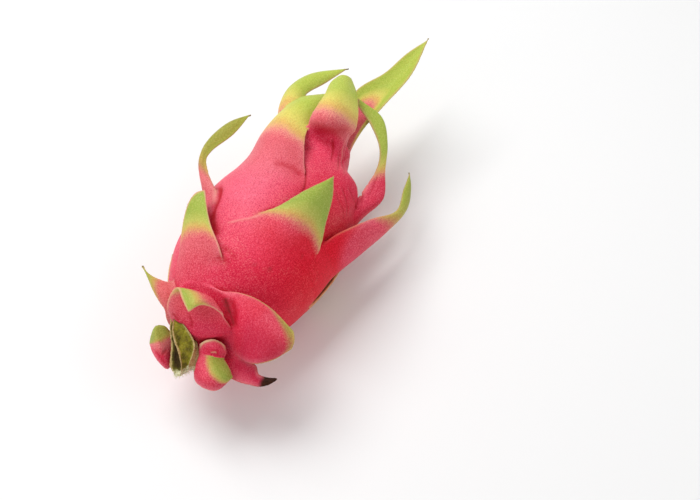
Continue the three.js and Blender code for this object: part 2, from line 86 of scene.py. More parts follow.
def along(points, count):
    """count points on a centripetal curve through the points, shared out by the length between them."""
    p = np.array(points, float)
    ends = np.vstack([2 * p[0] - p[1], p, 2 * p[-1] - p[-2]])
    time = np.concatenate([[0], np.cumsum(np.sqrt(np.linalg.norm(np.diff(ends, axis=0), axis=1)))])
    reach = np.concatenate([[0], np.cumsum(np.linalg.norm(np.diff(p, axis=0), axis=1))])
    target = np.linspace(0, reach[-1], count)
    i = np.clip(np.searchsorted(reach, target, side="right") - 1, 0, len(p) - 2)
    t0, t1, t2, t3 = (time[i + k] for k in range(4))
    t = t1 + (target - reach[i]) / (reach[i + 1] - reach[i]) * (t2 - t1)

    def mix(a, b, start, end):
        share = ((t - start) / (end - start))[:, None]
        return a * (1 - share) + b * share

    a1 = mix(ends[i], ends[i + 1], t0, t1)
    a2 = mix(ends[i + 1], ends[i + 2], t1, t2)
    a3 = mix(ends[i + 2], ends[i + 3], t2, t3)
    return mix(mix(a1, a2, t0, t2), mix(a2, a3, t1, t3), t1, t2)


outline = along(SKIN_OUTLINE, 400)
rim = int(np.argmax(outline[:, 0]))


def skin_radius(height):
    """The outline's reach at a height, between the stem end and the rim of the navel."""
    return np.interp(height, outline[:rim + 1, 0], outline[:rim + 1, 1])


def swelling(height, turn):
    """How far the skin stands out from its outline at a height and a turn, in mm."""
    total = np.zeros(np.broadcast(height, turn).shape)
    for middle, facing, width, rise, up, down in SWELLINGS:
        away = (turn - radians(facing) + pi) % (2 * pi) - pi
        across = away * max(LEAST_RADIUS, float(skin_radius(middle))) / (width / 2)
        beyond = height - middle
        step = np.where(beyond < 0, smooth(1 + beyond / up), smooth(1 - beyond / down))
        total += rise * step * np.exp(-SWELLING_FALL * across ** 2)
    return total


def place(knot, sunk=0.0):
    """A knot as a point of the fruit's own frame; without a reach it lies so deep in the skin."""
    height, turn = knot[0], radians(knot[1])
    reach = knot[2] if len(knot) > 2 else float(skin_radius(max(0.5, height))) - sunk
    return np.array([height, reach * sin(turn), reach * cos(turn)])


def laid(points):
    """Points of the fruit's own frame, laid on the floor: still millimetres."""
    height, side, up = np.asarray(points, float).T
    c, s = cos(radians(AXIS_TILT)), sin(radians(AXIS_TILT))
    return np.stack([height * c - up * s, -side, height * s + up * c], -1) + SET_DOWN


def ring_faces(rings, size, start, end):
    """Quads between rings of points, and triangles from the first and last rings to the two end points."""
    i, j = np.meshgrid(np.arange(rings - 1), np.arange(size), indexing="ij")
    k = (j + 1) % size
    quads = np.stack([i * size + j, (i + 1) * size + j, (i + 1) * size + k, i * size + k], -1).reshape(-1, 4)
    j = np.arange(size)
    k = (j + 1) % size
    last = (rings - 1) * size
    caps = np.vstack([np.stack([0 * j + start, j, k], -1), np.stack([0 * j + end, last + k, last + j], -1)])
    return quads, caps


def skin_points():
    """Rings of the skin from the stem end to the floor of the navel, and its two end points."""
    line = along(SKIN_OUTLINE, SKIN_RINGS)
    turn = np.linspace(0, 2 * pi, SKIN_SIDES, endpoint=False)
    slope = np.gradient(line, axis=0)
    slope /= np.linalg.norm(slope, axis=1)[:, None]
    top = int(np.argmax(line[:, 0]))
    fade = np.where(np.arange(SKIN_RINGS) <= top, smooth(line[:, 1] / POLE_FADE), 0)
    out = swelling(line[:, :1], turn[None, :]) * fade[:, None]
    height = line[:, :1] - out * slope[:, 1:]
    reach = line[:, 1:] + out * slope[:, :1]
    rings = np.stack([height, reach * np.sin(turn), reach * np.cos(turn)], -1)[1:-1]
    return rings, np.array([line[0, 0], 0, 0]), np.array([line[-1, 0], 0, 0])


# ---- Bracts ------------------------------------------------------------------------------------------
# The scales of the fruit: fleshy triangles that grow out of the skin, pink at the base and green where
# they stay thin, ending in straps, flaps and hooks. Each is a loft over two margins and a ridge.

SUNK_EDGE = 1.0         # mm, how deep a margin starts in the skin
SUNK_RIDGE = 0.5
ROOT_LENGTH = 6.0       # mm, the part of a bract that lies inside the skin
ROOT_ROWS = ((1, 2.6), (0.5, 1.6))      # rings of that part: share of its length, mm under the skin
ROOT_LOWEST = 2.5       # mm, the least height of a root
EDGE_THICKNESS = 0.9
BLADE_THICKNESS = 1.6
BASE_THICKNESS = 4.0
BLADE_THINNING = 0.35   # share of the blade's thickness that is gone at the tip
MARGIN_FALL = 2.2       # how late the thickness falls off from the ridge to the margins
BOW = 0.25              # share of the width by which a ridge without knots of its own bows
BRACT_STATIONS = 64
BRACT_ACROSS = 23
ROOT_SHARES = (-0.2, -0.1)              # what the rings of the root count as, along the bract
AHEAD_STATION = 4       # the station that tells which way a bract sets out
FACING_STATION = 8      # the ring that tells which side of a bract is its outside
POINTED = 1.2           # mm, a bract narrower than this keeps the last facing of its face

# shape: how far a ridge without knots of its own bows out of the margins' plane (bow, a share of the
# width), how thick the ridge is at the base and in the blade (mm), and where its fillet ends (free_from)
# colour: where along the bract the pink ends and the green is full, how much sooner that comes at the
# margins (hem) and on the right side (lean), how lime or how dull the green is, how pale the margin, the
# share of the length where that starts (hem_from), where the tip is dried, and how dusty the pink is
# and from where (dusty_from)
BRACTS = {
    "top": dict(
        left=[(44, 8), (56, 4), (66, 5, 40.5), (77, 16, 42.5), (90, 24, 44.5), (107, 35, 47)],
        ridge=[(44, 32), (60, 32, 41.5), (76, 33, 44.5), (92, 34, 46.5), (107, 35, 47)],
        right=[(50, 54), (63, 62), (76, 61, 40.5), (86, 52, 42.5), (99, 43, 45), (107, 35, 47)],
        green=(0.44, 0.72), hem=0.14, lime=0.1, pale=0.3, dusty=0.25),
    "upper_left": dict(
        left=[(12, -44), (24, -46), (37, -42, 37), (52.6, -41, 46.4), (60.1, -38, 50.1), (64.4, -35, 50.6),
              (67, -33, 49)],
        ridge=[(16, -16), (32, -20, 35), (44, -24, 42), (57, -29, 47), (67, -33, 49)],
        right=[(22, 14), (34, 12), (43, -2, 41), (51, -15, 45), (67, -33, 49)],
        green=(0.54, 0.8), hem=0.08, lime=0.2, pale=0.7, dusty=0.5),
    "horn": dict(
        left=[(58, -50), (71, -55, 41.5), (82, -59, 49), (90, -62, 54), (102, -65, 56), (117, -64, 53),
              (127, -58, 46)],
        right=[(54, -30), (70, -35, 39.5), (82, -50, 47), (90, -57, 51), (96, -58, 51), (111, -57, 47),
               (127, -58, 46)],
        bow=0.3, base=3, green=(0.36, 0.62), hem=0.06, lime=0.6, pale=0.4, dull=0.9,
        dry=0.96, dusty=0.8, free_from=0.5),
    "broadest": dict(
        left=[(74, -56), (85, -66, 37.5), (107, -61, 33.5), (122, -59, 35), (137, -59, 34),
              (152.3, -52, 30.3), (159.2, -44, 24.5), (166.2, -31, 18.1)],
        ridge=[(70, -16), (90, -18, 38.5), (106, -22, 36.5), (122, -30, 35.5), (137.6, -34, 34.1),
               (149.7, -33, 29.8), (158.2, -31, 23.8), (166.2, -31, 18.1)],
        right=[(84, 22), (101, 22, 32.5), (113, 9, 29.5), (127.6, -8, 27), (135.4, -13, 25.8),
               (143.6, -16, 24.9), (151.3, -19, 23.6), (158.6, -23, 21.6), (166.2, -31, 18.1)],
        green=(0.45, 0.76), hem=0.05, lime=1.0, pale=0.3, dusty=0.5),
    "hood": dict(
        left=[(112, 4), (122.5, -8, 18.8), (126.8, -14, 22.3), (130.4, -16, 24.8),
              (133.9, -13, 27.6), (137.4, -12, 30.9), (144.7, -13, 31.2), (154.6, -16, 29.4),
              (168, -28, 25.4), (176.3, -33, 21.8)],
        ridge=[(112, 30), (126.4, 27, 19.8), (133.8, 20, 19), (136.5, 17, 22.5), (138, 14, 29.5),
               (142.2, 11, 33.2), (151.3, 5, 32.2), (164.4, -4, 26.9), (177.7, -23, 21)],
        right=[(114, 62), (132.1, 64, 17.5), (140.4, 56, 15.5), (146, 45, 17.6), (149.4, 42, 21.4),
               (155.8, 34, 22.4), (164.6, 22, 20.1), (173.7, 2, 16.5), (179.6, -20, 16.4)],
        blade=5, green=(0.46, 0.8), hem=0.02, lime=1.0, pale=0.2, dusty=0.6,
        dusty_from=0.33),
    "arched": dict(
        left=[(112, -104), (128, -92, 25), (141, -70, 34), (149, -70, 37), (161, -73, 38), (176, -76, 33),
              (191, -66, 16)],
        right=[(110, -54), (128, -52, 25), (145, -50, 25), (152, -55, 26), (160, -62, 27), (174, -68, 22),
               (191, -66, 16)],
        green=(0.32, 0.62), hem=0.05, lime=0.9, pale=0.4, dry=0.95, dusty=0.8),
    "longest": dict(
        left=[(122, -176), (138, -170, 16.5), (154, -150, 11), (184, -110, 7), (203, 107, 3), (220, 85, 8),
              (235, 84, 15)],
        right=[(124, 62), (136, 76, 15.5), (146, 94, 12), (162, 88, 12), (180, 84, 15), (206, 82, 19),
               (235, 84, 15)],
        green=(0.48, 0.66), hem=0.3, lime=0.8, pale=0.3, dry=0.97, dusty=0.5),
    "thin_arch": dict(
        left=[(92, 70), (117, 92, 30.8), (131, 97, 30.6), (145.6, 96, 30.1), (154.3, 89, 26.2),
              (162.7, 71, 17), (168.8, 22, 10)],
        ridge=[(88, 98), (116.3, 100, 37.9), (131.1, 102, 40.7), (147, 100, 34.1), (158, 92, 28.6),
               (169.2, 76, 18.9), (172.2, 17, 11)],
        right=[(94, 128), (115.7, 120, 37.6), (133.2, 110, 41.6), (147, 104, 33.2), (160.9, 97, 27.8),
               (171.9, 81, 18.3), (172.1, 12, 9)],
        base=9, green=(0.5, 0.68), hem=0.04, lime=0.6, pale=0.4, dusty=0.1),
    "long_right": dict(
        left=[(62, 62), (77, 63, 39.5), (86, 66, 41), (98, 76, 42), (113, 91, 44.5), (130, 104, 52),
              (145, 109, 49), (158, 112, 47)],
        right=[(60, 120), (80, 118, 42), (98, 112, 48), (118, 111, 54), (138, 112, 57), (150, 113, 53),
               (158, 112, 47)],
        bow=0.2, green=(0.56, 0.84), hem=0.06, lime=0.35, pale=0.4, dull=0.4, dry=0.97),
    "spur": dict(
        left=[(2, -38), (4.3, -42, 19.3), (8, -41, 24.9), (10.1, -46, 29.2), (13.9, -53, 34.5),
              (17.4, -55, 39.5), (21.1, -57, 45)],
        right=[(20, -44), (23.4, -46, 28.6), (21.2, -48, 31.1), (20.5, -51, 33.8), (19.9, -53, 36.8),
               (20, -55, 40.8), (21.1, -57, 45)],
        bow=0.2, base=5, green=(0.5, 0.9), hem=0.1, lime=0.4, pale=0.4, dull=0.5, dry=0.96, dusty=1.2),
    "folded": dict(
        left=[(3, -22, 17), (7.2, -27, 27.9), (11.9, -22, 33.7), (14.6, -18, 36.5), (15, -12, 38.8),
              (10.6, -2, 41.4), (6.5, 7, 42.7)],
        ridge=[(5.2, 27, 20.2), (11.2, 20, 30), (15.9, 14, 35), (17.9, 10, 38.3), (15.8, 8, 41.5),
               (11.8, 7, 43.6), (6.5, 7, 42.7)],
        right=[(14.3, 50, 26.3), (14.8, 43, 29.9), (15, 33, 34.4), (15.3, 24, 37.8), (14, 15, 41),
               (11.3, 10, 43.1), (6.5, 7, 42.7)],
        base=2.5, green=(0.69, 0.99), hem=0.2, lean=-0.13, lime=0.2, pale=0.7, dull=0.2, dusty=0.5),
    "blunt_flap": dict(
        left=[(15, -42), (22.9, -21, 29.2), (25.9, 1, 31.2), (26.3, 16, 34), (29.5, 27, 36.5),
              (31.8, 39, 39.1), (32.2, 53, 42.9), (29.7, 69, 50.6)],
        ridge=[(12, 15, 20), (15.6, 24, 23.2), (17.4, 32, 27.5), (17.7, 39, 32.9), (17.6, 46, 38.7),
               (18.4, 52, 44), (21.2, 60, 49.5), (25.4, 69, 53.9)],
        right=[(8, 80), (8.1, 75, 19.8), (7.9, 73, 25), (6.2, 69, 31.5), (5.1, 67, 38.6),
               (6.5, 67, 44.7), (12.4, 70, 49.7), (21.6, 73, 53.2)],
        green=(0.88, 1.15), hem=0.1, lean=-0.06, lime=0.3, pale=1.0, dull=0.9, hem_from=0.45),
    "little_curl": dict(
        left=[(2.5, 60, 9), (-0.5, 46, 13.7), (2, 30, 15.9)],
        ridge=[(-0.5, 62, 19.5), (2.2, 46, 22.8), (6.6, 38, 21.4)],
        right=[(2, 70, 22.5), (5.7, 64, 24.1), (8.2, 57, 23.4)],
        base=2, green=(1.4, 1.8), hem=0, lime=0.3, pale=0, dusty=0.2, free_from=1.3),
    "dried_flap": dict(
        left=[(11, 72), (9.1, 74, 26), (8, 75, 33), (7.6, 76, 39), (4.4, 77, 42.4), (5.3, 80, 46.1),
              (7.7, 83, 49.6)],
        right=[(3, 92), (-2.7, 85, 25.1), (-2.9, 83, 34.2), (-1.8, 83, 39.5), (-0.5, 84, 43.5),
               (2.4, 85, 46.9), (6.1, 85, 49.3)],
        base=3, green=(0.86, 1.3), hem=0.05, lime=0.2, pale=0.1, dull=0.9, dry=0.78, dusty=0),
    "left_lobe": dict(
        left=[(2, -63, 12), (3, -54, 18), (0, -54, 22), (-5, -56, 21), (-9, -58, 19)],
        ridge=[(1, -34, 8), (-8, -23, 16), (-9, -29, 19), (-9, -44, 19), (-9, -57, 19)],
        right=[(-3, -45, 4), (-15, -16, 6), (-15, -33, 11), (-12, -50, 16), (-9, -57, 19)],
        base=3, green=(0.7, 1.3), hem=0, lean=-1.4, lime=0.0, pale=0.2, dull=0.7, dusty=0.9),
    "right_lobe": dict(
        left=[(4, 66, 12), (3, 66, 21), (0, 71, 27), (-3, 76, 30)],
        ridge=[(1, 65, 10), (-6, 57, 21), (-8, 60, 27), (-7, 68, 30), (-3, 76, 30)],
        right=[(-1, 81, 9), (-12, 72, 14), (-14, 72, 21), (-12, 76, 27), (-3, 76, 30)],
        blade=2, green=(0.45, 0.85), hem=0, lean=-0.75, lime=0.1, pale=0.5, dull=0.25, dry=0.985,
        free_from=0.9),
}

# the plain ones of the back and the underside: height, turn, length, width, lift, lean, waist
PLAIN_BRACTS = [
    (48, 128, 44, 42, 9, -6, 0.55), (44, -104, 46, 42, 9, 8, 0.55), (74, -138, 46, 38, 14, 6, 0.55),
    (92, -100, 42, 34, 12, 4, 0.55), (78, 155, 26, 40, 14.5, 2, 0.8), (76, 206, 26, 40, 14.5, -2, 0.8),
    (36, 180, 36, 42, 1.5, 0, 0.55), (16, -108, 30, 32, 9, 4, 0.55), (18, 140, 30, 32, 5, 6, 0.55),
    (14, -150, 26, 30, 3, 0, 0.55), (108, 152, 33, 30, 9, 4, 0.55), (112, -145, 46, 30, 14, -8, 0.55),
    (122, -105, 44, 24, 14, 10, 0.5),
]
PLAIN_STEPS = 5
PLAIN_BEHIND = 0.45     # share of the width by which a plain bract starts nearer the stem than its place
PLAIN_TAPER = 0.85      # below 1 its sides are full, above 1 they are drawn in
PLAIN_CURL = 1.6        # how late its lift comes
PLAIN_FOOT = (3, 4)     # mm, how much nearer the stem its margins and its ridge start
PLAIN_KEEL = 0.5        # mm, its ridge above its face
NECK = 143              # mm, the height where the skin's outline turns into the navel
VARY_STEP = 2.7         # radians, from one plain bract's tint to the next


def plain_bract(height, turn, length, width, lift, lean, waist):
    """The knots of a bract that stands where the spiral puts it, and follows the skin out to its tip."""
    behind = PLAIN_BEHIND * width
    start = height - behind
    base_radius = float(skin_radius(max(start, 1)))
    left, ridge, right = [], [], []
    for step in range(PLAIN_STEPS + 1):
        s = step / PLAIN_STEPS
        h = start + (length + behind) * s
        facing = turn + lean * s * s
        skin = float(skin_radius(min(max(h, 1), NECK)))
        wide = width * (1 - s) ** PLAIN_TAPER * (1 - (1 - waist) * smooth(1.3 * s) * (1 - s) * 1.2)
        reach = skin + (lift + max(0, 0.25 * (base_radius - skin))) * s ** PLAIN_CURL
        if step == 0:
            half = np.degrees(wide / 2 / skin)
            left.append((h - PLAIN_FOOT[0], facing - half))
            ridge.append((h - PLAIN_FOOT[1], facing))
            right.append((h - PLAIN_FOOT[0], facing + half))
            continue
        half = np.degrees(np.arctan2(wide / 2, reach))
        edge = reach - 0.15 * (wide / 2) ** 2 / reach - SUNK_EDGE * (1 - smooth(s / 0.35))
        left.append((h, facing - half, edge))
        ridge.append((h + 0.05 * wide, facing, reach + PLAIN_KEEL * min(1, 3 * s)))
        right.append((h, facing + half, edge))
    return dict(left=left, ridge=ridge, right=right)


for number, sizes in enumerate(PLAIN_BRACTS):
    vary = sin(VARY_STEP * number)
    BRACTS[f"plain_{number + 1}"] = dict(
        plain_bract(*sizes), green=(0.5 + 0.06 * vary, 0.82 + 0.05 * vary), hem=0.1,
        lime=0.45 + 0.3 * vary, pale=0.6, dry=0.97)

across = np.sin(np.linspace(-pi / 2, pi / 2, BRACT_ACROSS))     # -1 at the left margin, 1 at the right
RIDGE_POINTED = 1.5     # mm, where the margins are closer than this the ridge keeps its side
LEAST_ROUND = 9.0       # mm, the skin's radius that a base is bent to, however near the stem
BASE_BOW = 0.04         # share of the width by which a base bows further than the skin
BASE_SHARE = 0.4        # share of the length over which the base's bow turns into the blade's


def bowed_ridge(left, right, bow):
    """A ridge between two margins: round as the skin at the base, and bowed by a share of the width."""
    middle, width = (left + right) / 2, np.linalg.norm(right - left, axis=1)
    side = (right - left) / np.maximum(width, 1e-6)[:, None]
    for i in range(1, len(side)):
        if width[i] < RIDGE_POINTED:
            side[i] = side[i - 1]
    ahead = np.gradient(middle, axis=0)
    out = np.cross(side, ahead)
    out /= np.linalg.norm(out, axis=1)[:, None]
    if out[0] @ (middle[0] * (0, 1, 1)) < 0:
        out = -out
    round_of_skin = max(LEAST_ROUND, float(skin_radius(middle[0, 0])))
    half = min(0.98, width[0] / 2 / round_of_skin)
    base_bow = round_of_skin * (1 - np.sqrt(1 - half * half)) / width[0] + BASE_BOW
    share = smooth(np.linspace(0, 1, len(middle)) / BASE_SHARE)
    return middle + out * (width * (base_bow * (1 - share) + bow * share))[:, None]


def bract_rings(bract):
    """Closed rings of a bract from its root to its tip, and each ring's share of the length."""
    left = along([place(k, SUNK_EDGE) for k in bract["left"]], BRACT_STATIONS)
    right = along([place(k, SUNK_EDGE) for k in bract["right"]], BRACT_STATIONS)
    if "ridge" in bract:
        ridge = along([place(k, SUNK_RIDGE) for k in bract["ridge"]], BRACT_STATIONS)
    else:
        ridge = bowed_ridge(left, right, bract.get("bow", BOW))
    half, drop = (right - left) / 2, (left + right) / 2 - ridge
    face = ridge[:, None] + half[:, None] * across[:, None] + drop[:, None] * (across ** 2)[:, None]
    out = ridge[0] * (0, 1, 1) / np.linalg.norm(ridge[0] * (0, 1, 1))
    ahead = ridge[AHEAD_STATION] - ridge[0]
    ahead = ahead / np.linalg.norm(ahead)
    back = ahead - out * min(0, ahead @ out)
    back /= np.linalg.norm(back)
    root = []
    for share, sunk in ROOT_ROWS:
        row = face[0] - back * ROOT_LENGTH * share
        row[:, 0] = np.maximum(row[:, 0], ROOT_LOWEST)
        deepest = np.maximum(1, skin_radius(row[:, 0]) - sunk)
        reach = np.hypot(row[:, 1], row[:, 2])
        row[:, 1:] *= np.minimum(1, deepest / reach)[:, None]
        root.append(row)
    face = np.concatenate([root, face])
    share = np.concatenate([ROOT_SHARES, np.linspace(0, 1, BRACT_STATIONS)])
    normal = np.cross(np.gradient(face, across, axis=1), np.gradient(face, axis=0))
    normal /= np.maximum(np.linalg.norm(normal, axis=2, keepdims=True), 1e-9)
    width = np.linalg.norm(face[:, -1] - face[:, 0], axis=1)
    for i in range(1, len(face)):
        if width[i] < POINTED:
            normal[i] = normal[i - 1]
    middle = BRACT_ACROSS // 2
    if normal[FACING_STATION, middle] @ out < 0:
        normal = -normal
    s = np.clip(share, 0, 1)[:, None]
    ridge_thickness = bract.get("base", BASE_THICKNESS) * (1 - s) ** 2
    ridge_thickness = ridge_thickness + bract.get("blade", BLADE_THICKNESS) * (1 - BLADE_THINNING * s)
    thickness = EDGE_THICKNESS + (ridge_thickness - EDGE_THICKNESS) * (1 - np.abs(across) ** MARGIN_FALL)
    inner = face - normal * thickness[:, :, None]
    return np.concatenate([face, inner[:, ::-1]], axis=1), share


# ---- Stem stub ---------------------------------------------------------------------------------------
# A short piece of the cactus stem that the fruit grew on, left when it was cut: hollow green faces
# between corky cream ribs, torn open at the end. It sits in a pocket of the skin at the stem end.

STUB_RAILS = {
    "left": [(9.3, -43, 20.1), (4.3, -28, 21.2), (0.2, -23, 19.7), (-2.7, -19, 17.3),
             (-6.1, -14, 14.7), (-10.3, -7, 12.6), (-14, 2, 10.9), (-17.3, 23, 9.6)],
    "front": [(10.7, -37, 20.3), (4.8, -20, 22.7), (0, -14, 22.1), (-3.6, -6, 20.5), (-6.4, 4, 19.5),
             (-9.5, 15, 18.8), (-12.4, 25, 17.1), (-15.9, 35, 14.2)],
    "right": [(11.5, -31, 17.9), (6.1, -10, 21.1), (4.5, 1, 19.8), (2.7, 13, 18.6), (0.3, 24, 17.9),
             (-3.7, 30, 17.4), (-7.9, 34, 16.5), (-11.9, 42, 14.3)],
    "flap": [(12.2, -31, 13.4), (7.8, -6, 13.6), (5.3, 11, 13.1), (2.7, 27, 13.2), (-0.2, 39, 14),
             (-3.4, 47, 15.2), (-6.8, 53, 15.4), (-10.1, 56, 14.7)],
    "back": [(11.9, -49, 12.3), (8.3, -45, 8.6), (5.7, -44, 5.2), (3.4, -31, 1.5), (1.1, 107, 1.7),
             (-3.1, 98, 3.2), (-7.3, 91, 3.7), (-12.2, 74, 3.7)],
}
STUB_STATIONS = 84
STUB_FACE = 26          # points across one face
STUB_FLUTES = (1.9, 1.0, 1.5, 1.5, 1.3)     # mm, how deep each face is hollowed
STUB_DARK = (1.0, 0.15, 0.1, 0.3, 0.3)      # how much painted shade darkens the bottom of each face
STUB_PAPER = (0, 0, 1.0, 0.4, 0)            # how far each face has dried to tan paper, low down
STUB_RIB = 0.13         # share of a face that its rib takes
STUB_RIB_TINT = 0.8     # share of that which has the rib's colour
STUB_SCOOP = 0.75       # share of a face's hollow that lies right behind its ribs
STUB_DARK_FROM, STUB_DARK_TO = (0.2, 0.2), (0.86, 0.1)      # shares of the length: where, over how much
STUB_PAPER_FROM = (0.5, 0.12)
STUB_TEAR = 2.2         # mm, how ragged the torn end is
STUB_TORN_FROM = 0.84   # share of the length where the tear starts
STUB_ROUGH = (0.1, 0.25, 0.3)               # mm: everywhere, more on the ribs, more at the tear
COARSE_GRAIN, FINE_GRAIN = 1.7, 0.6         # mm, how wide the lumps of the two grains are
TEAR_GRAIN, PITH_GRAIN = 2.2, 1.1           # mm, of the torn end's outline and of the pith
PITH_RINGS = 7
PITH_DEEP = 3.0         # mm
PITH_ROUGH = 0.7        # mm


def value_noise(points, size, seed):
    """Smooth noise from -1 to 1 at points, its lumps about size across.

    Each corner of a point's cell has a level of its own, scrambled from its place by large primes.
    """
    cell = np.asarray(points) / size
    base = np.floor(cell).astype(np.int64)
    part = smooth(cell - base)
    total = np.zeros(len(cell))
    for corner in np.ndindex(2, 2, 2):
        c = base + corner
        mixed = (c[:, 0] * 73856093) ^ (c[:, 1] * 19349663) ^ (c[:, 2] * 83492791) ^ (seed * 2654435761)
        mixed = (mixed ^ (mixed >> 13)) * 1274126177 & 0xFFFFFFFF
        level = ((mixed ^ (mixed >> 16)) & 0xFFFF) / 32767.5 - 1
        total += level * np.prod(np.where(corner, part, 1 - part), axis=1)
    return total


rails = [along([place(k) for k in knots], STUB_STATIONS) for knots in STUB_RAILS.values()]
corners = np.stack(rails, 1)
middle = corners.mean(1, keepdims=True)
beside = np.roll(corners, -1, axis=1)
inward = middle - (corners + beside) / 2
inward /= np.linalg.norm(inward, axis=2, keepdims=True)
q = np.linspace(0, 1, STUB_FACE, endpoint=False)
from_rib = np.minimum(q, 1 - q)
scoop = STUB_SCOOP * (1 - np.exp(-(from_rib / STUB_RIB) ** 2)) + (1 - STUB_SCOOP) * np.sin(pi * q)
hollow = np.array(STUB_FLUTES)[:, None] * scoop
stub_rings = (corners[:, :, None] * (1 - q)[:, None] + beside[:, :, None] * q[:, None]
              + inward[:, :, None] * hollow[..., None]).reshape(STUB_STATIONS, -1, 3)
way = np.linspace(0, 1, STUB_STATIONS)[:, None]
from_ends = rises(way, *STUB_DARK_FROM) * (1 - rises(way, *STUB_DARK_TO))
# painted shade in the bottom of each hollow face, away from its ends
recess = (np.array(STUB_DARK)[:, None] * smooth(np.sin(pi * q) * 1.5)).ravel() * from_ends
rib = np.tile(np.exp(-(from_rib / (STUB_RIB_TINT * STUB_RIB)) ** 2), (STUB_STATIONS, len(STUB_RAILS)))
paper = np.repeat(STUB_PAPER, STUB_FACE) * rises(way, *STUB_PAPER_FROM)
torn = np.repeat(rises(way, STUB_TORN_FROM, 1 - STUB_TORN_FROM), rib.shape[1], 1)

ahead = stub_rings[-1].mean(0) - stub_rings[-6].mean(0)
ahead /= np.linalg.norm(ahead)
rough = value_noise(stub_rings.reshape(-1, 3), COARSE_GRAIN, seed=3).reshape(rib.shape)
fine = value_noise(stub_rings.reshape(-1, 3), FINE_GRAIN, seed=5).reshape(rib.shape)
from_axis = stub_rings - stub_rings.mean(1, keepdims=True)
from_axis /= np.linalg.norm(from_axis, axis=2, keepdims=True)
all_over, on_ribs, at_tear = STUB_ROUGH
roughness = all_over * fine + on_ribs * rib * rough + at_tear * torn * rough
stub_rings = stub_rings + from_axis * roughness[..., None]
tear = value_noise(stub_rings[-1], TEAR_GRAIN, seed=8)
stub_rings = stub_rings + (torn * STUB_TEAR * tear)[..., None] * ahead

# the pith inside the tear
pith = []
for ring in range(1, PITH_RINGS + 1):
    share = ring / (PITH_RINGS + 1)
    row = stub_rings[-1] * (1 - share) + stub_rings[-1].mean(0) * share
    row = row - ahead * PITH_DEEP * smooth(2.2 * share)
    pith.append(row + ahead * (PITH_ROUGH * value_noise(row, PITH_GRAIN, seed=11))[:, None])
stub_points = np.concatenate([stub_rings, pith])
rib = np.concatenate([np.maximum(rib, paper), np.zeros((PITH_RINGS, rib.shape[1]))])
torn = np.concatenate([torn, np.ones((PITH_RINGS, torn.shape[1]))])
recess = np.concatenate([recess, np.zeros((PITH_RINGS, recess.shape[1]))])
stub_surface = laid(np.vstack([
    stub_points.reshape(-1, 3), stub_points[0].mean(0), stub_points[-1].mean(0)]))
stub_quads, stub_caps = ring_faces(
    len(stub_points), stub_points.shape[1], len(stub_surface) - 2, len(stub_surface) - 1)


def new_piece(name, points, faces):
    """A mesh object from points in millimetres; faces are turned to point outwards."""
    mesh = bpy.data.meshes.new(name)
    mesh.from_pydata((np.asarray(points) * 0.001).tolist(), [], faces)
    made = bpy.data.objects.new(name, mesh)
    bpy.context.scene.collection.objects.link(made)
    work = bmesh.new()
    work.from_mesh(mesh)
    bmesh.ops.recalc_face_normals(work, faces=work.faces)
    work.to_mesh(mesh)
    work.free()
    mesh.shade_smooth()
    return made


def note(piece, **values):
    """Numbers kept at every point of a piece, for its material to read."""
    for name, numbers in values.items():
        numbers = np.asarray(numbers, np.float32).ravel()
        piece.data.attributes.new(name, "FLOAT", "POINT").data.foreach_set("value", numbers)


stub_end = stub_points[-PITH_RINGS - 1:]
stub_end_faces = ring_faces(*stub_end.shape[:2], 0, 0)[0]
stub = new_piece("stem_stub_torn", stub_surface, stub_quads.tolist() + stub_caps.tolist())
note(stub, rib=np.append(rib.ravel(), [0, 0]), torn=np.append(torn.ravel(), [0, 1]),
     recess=np.append(recess.ravel(), [0, 0]))


def paint(code):
    """A colour as the shader reads it, from its six-figure code."""
    parts = [int(code[i:i + 2], 16) / 255 for i in (0, 2, 4)]
    return [c / 12.92 if c <= 0.04045 else ((c + 0.055) / 1.055) ** 2.4 for c in parts] + [1.0]


def new_material(name, roughness):
    material = bpy.data.materials.new(name)
    material.use_nodes = True
    shader = material.node_tree.nodes["Principled BSDF"]
    shader.inputs["Roughness"].default_value = roughness
    return material, shader


def fill(material, socket, value):
    if isinstance(value, bpy.types.NodeSocket):
        material.node_tree.links.new(value, socket)
    else:
        socket.default_value = value


def add(material, kind, **values):
    """A node with some of its inputs linked or set."""
    node = material.node_tree.nodes.new(kind)
    for name, value in values.items():
        fill(material, node.inputs[name.replace("_", " ")], value)
    return node


def blend(material, share, first, second):
    node = material.node_tree.nodes.new("ShaderNodeMix")
    node.data_type = "RGBA"
    for index, value in ((0, share), (6, first), (7, second)):
        fill(material, node.inputs[index], value)
    return node.outputs[2]


def spread(material, value, low, high, to_low=0.0, to_high=1.0):
    """A value between two levels, clamped and rescaled."""
    node = add(material, "ShaderNodeMapRange", Value=value, From_Min=low, From_Max=high, To_Min=to_low,
               To_Max=to_high)
    return node.outputs["Result"]


def arithmetic(material, operation, first, second):
    node = material.node_tree.nodes.new("ShaderNodeMath")
    node.operation = operation
    fill(material, node.inputs[0], first)
    fill(material, node.inputs[1], second)
    return node.outputs[0]


def plus(material, first, second):
    return arithmetic(material, "ADD", first, second)


def times(material, first, second):
    return arithmetic(material, "MULTIPLY", first, second)


def read(material, name):
    node = material.node_tree.nodes.new("ShaderNodeAttribute")
    node.attribute_name = name
    return node.outputs["Fac"]


def on_object(material):
    return material.node_tree.nodes.new("ShaderNodeTexCoord").outputs["Object"]


def speckle(material, place_on, scale, detail=4.0, rough=0.6):
    return add(material, "ShaderNodeTexNoise", Vector=place_on, Scale=scale, Detail=detail,
               Roughness=rough).outputs["Fac"]


def ramp(material, value, stops):
    node = add(material, "ShaderNodeValToRGB", Fac=value)
    while len(node.color_ramp.elements) < len(stops):
        node.color_ramp.elements.new(0.5)
    for element, (position, code) in zip(node.color_ramp.elements, stops):
        element.position = position
        element.color = paint(code)
    return node.outputs["Color"]


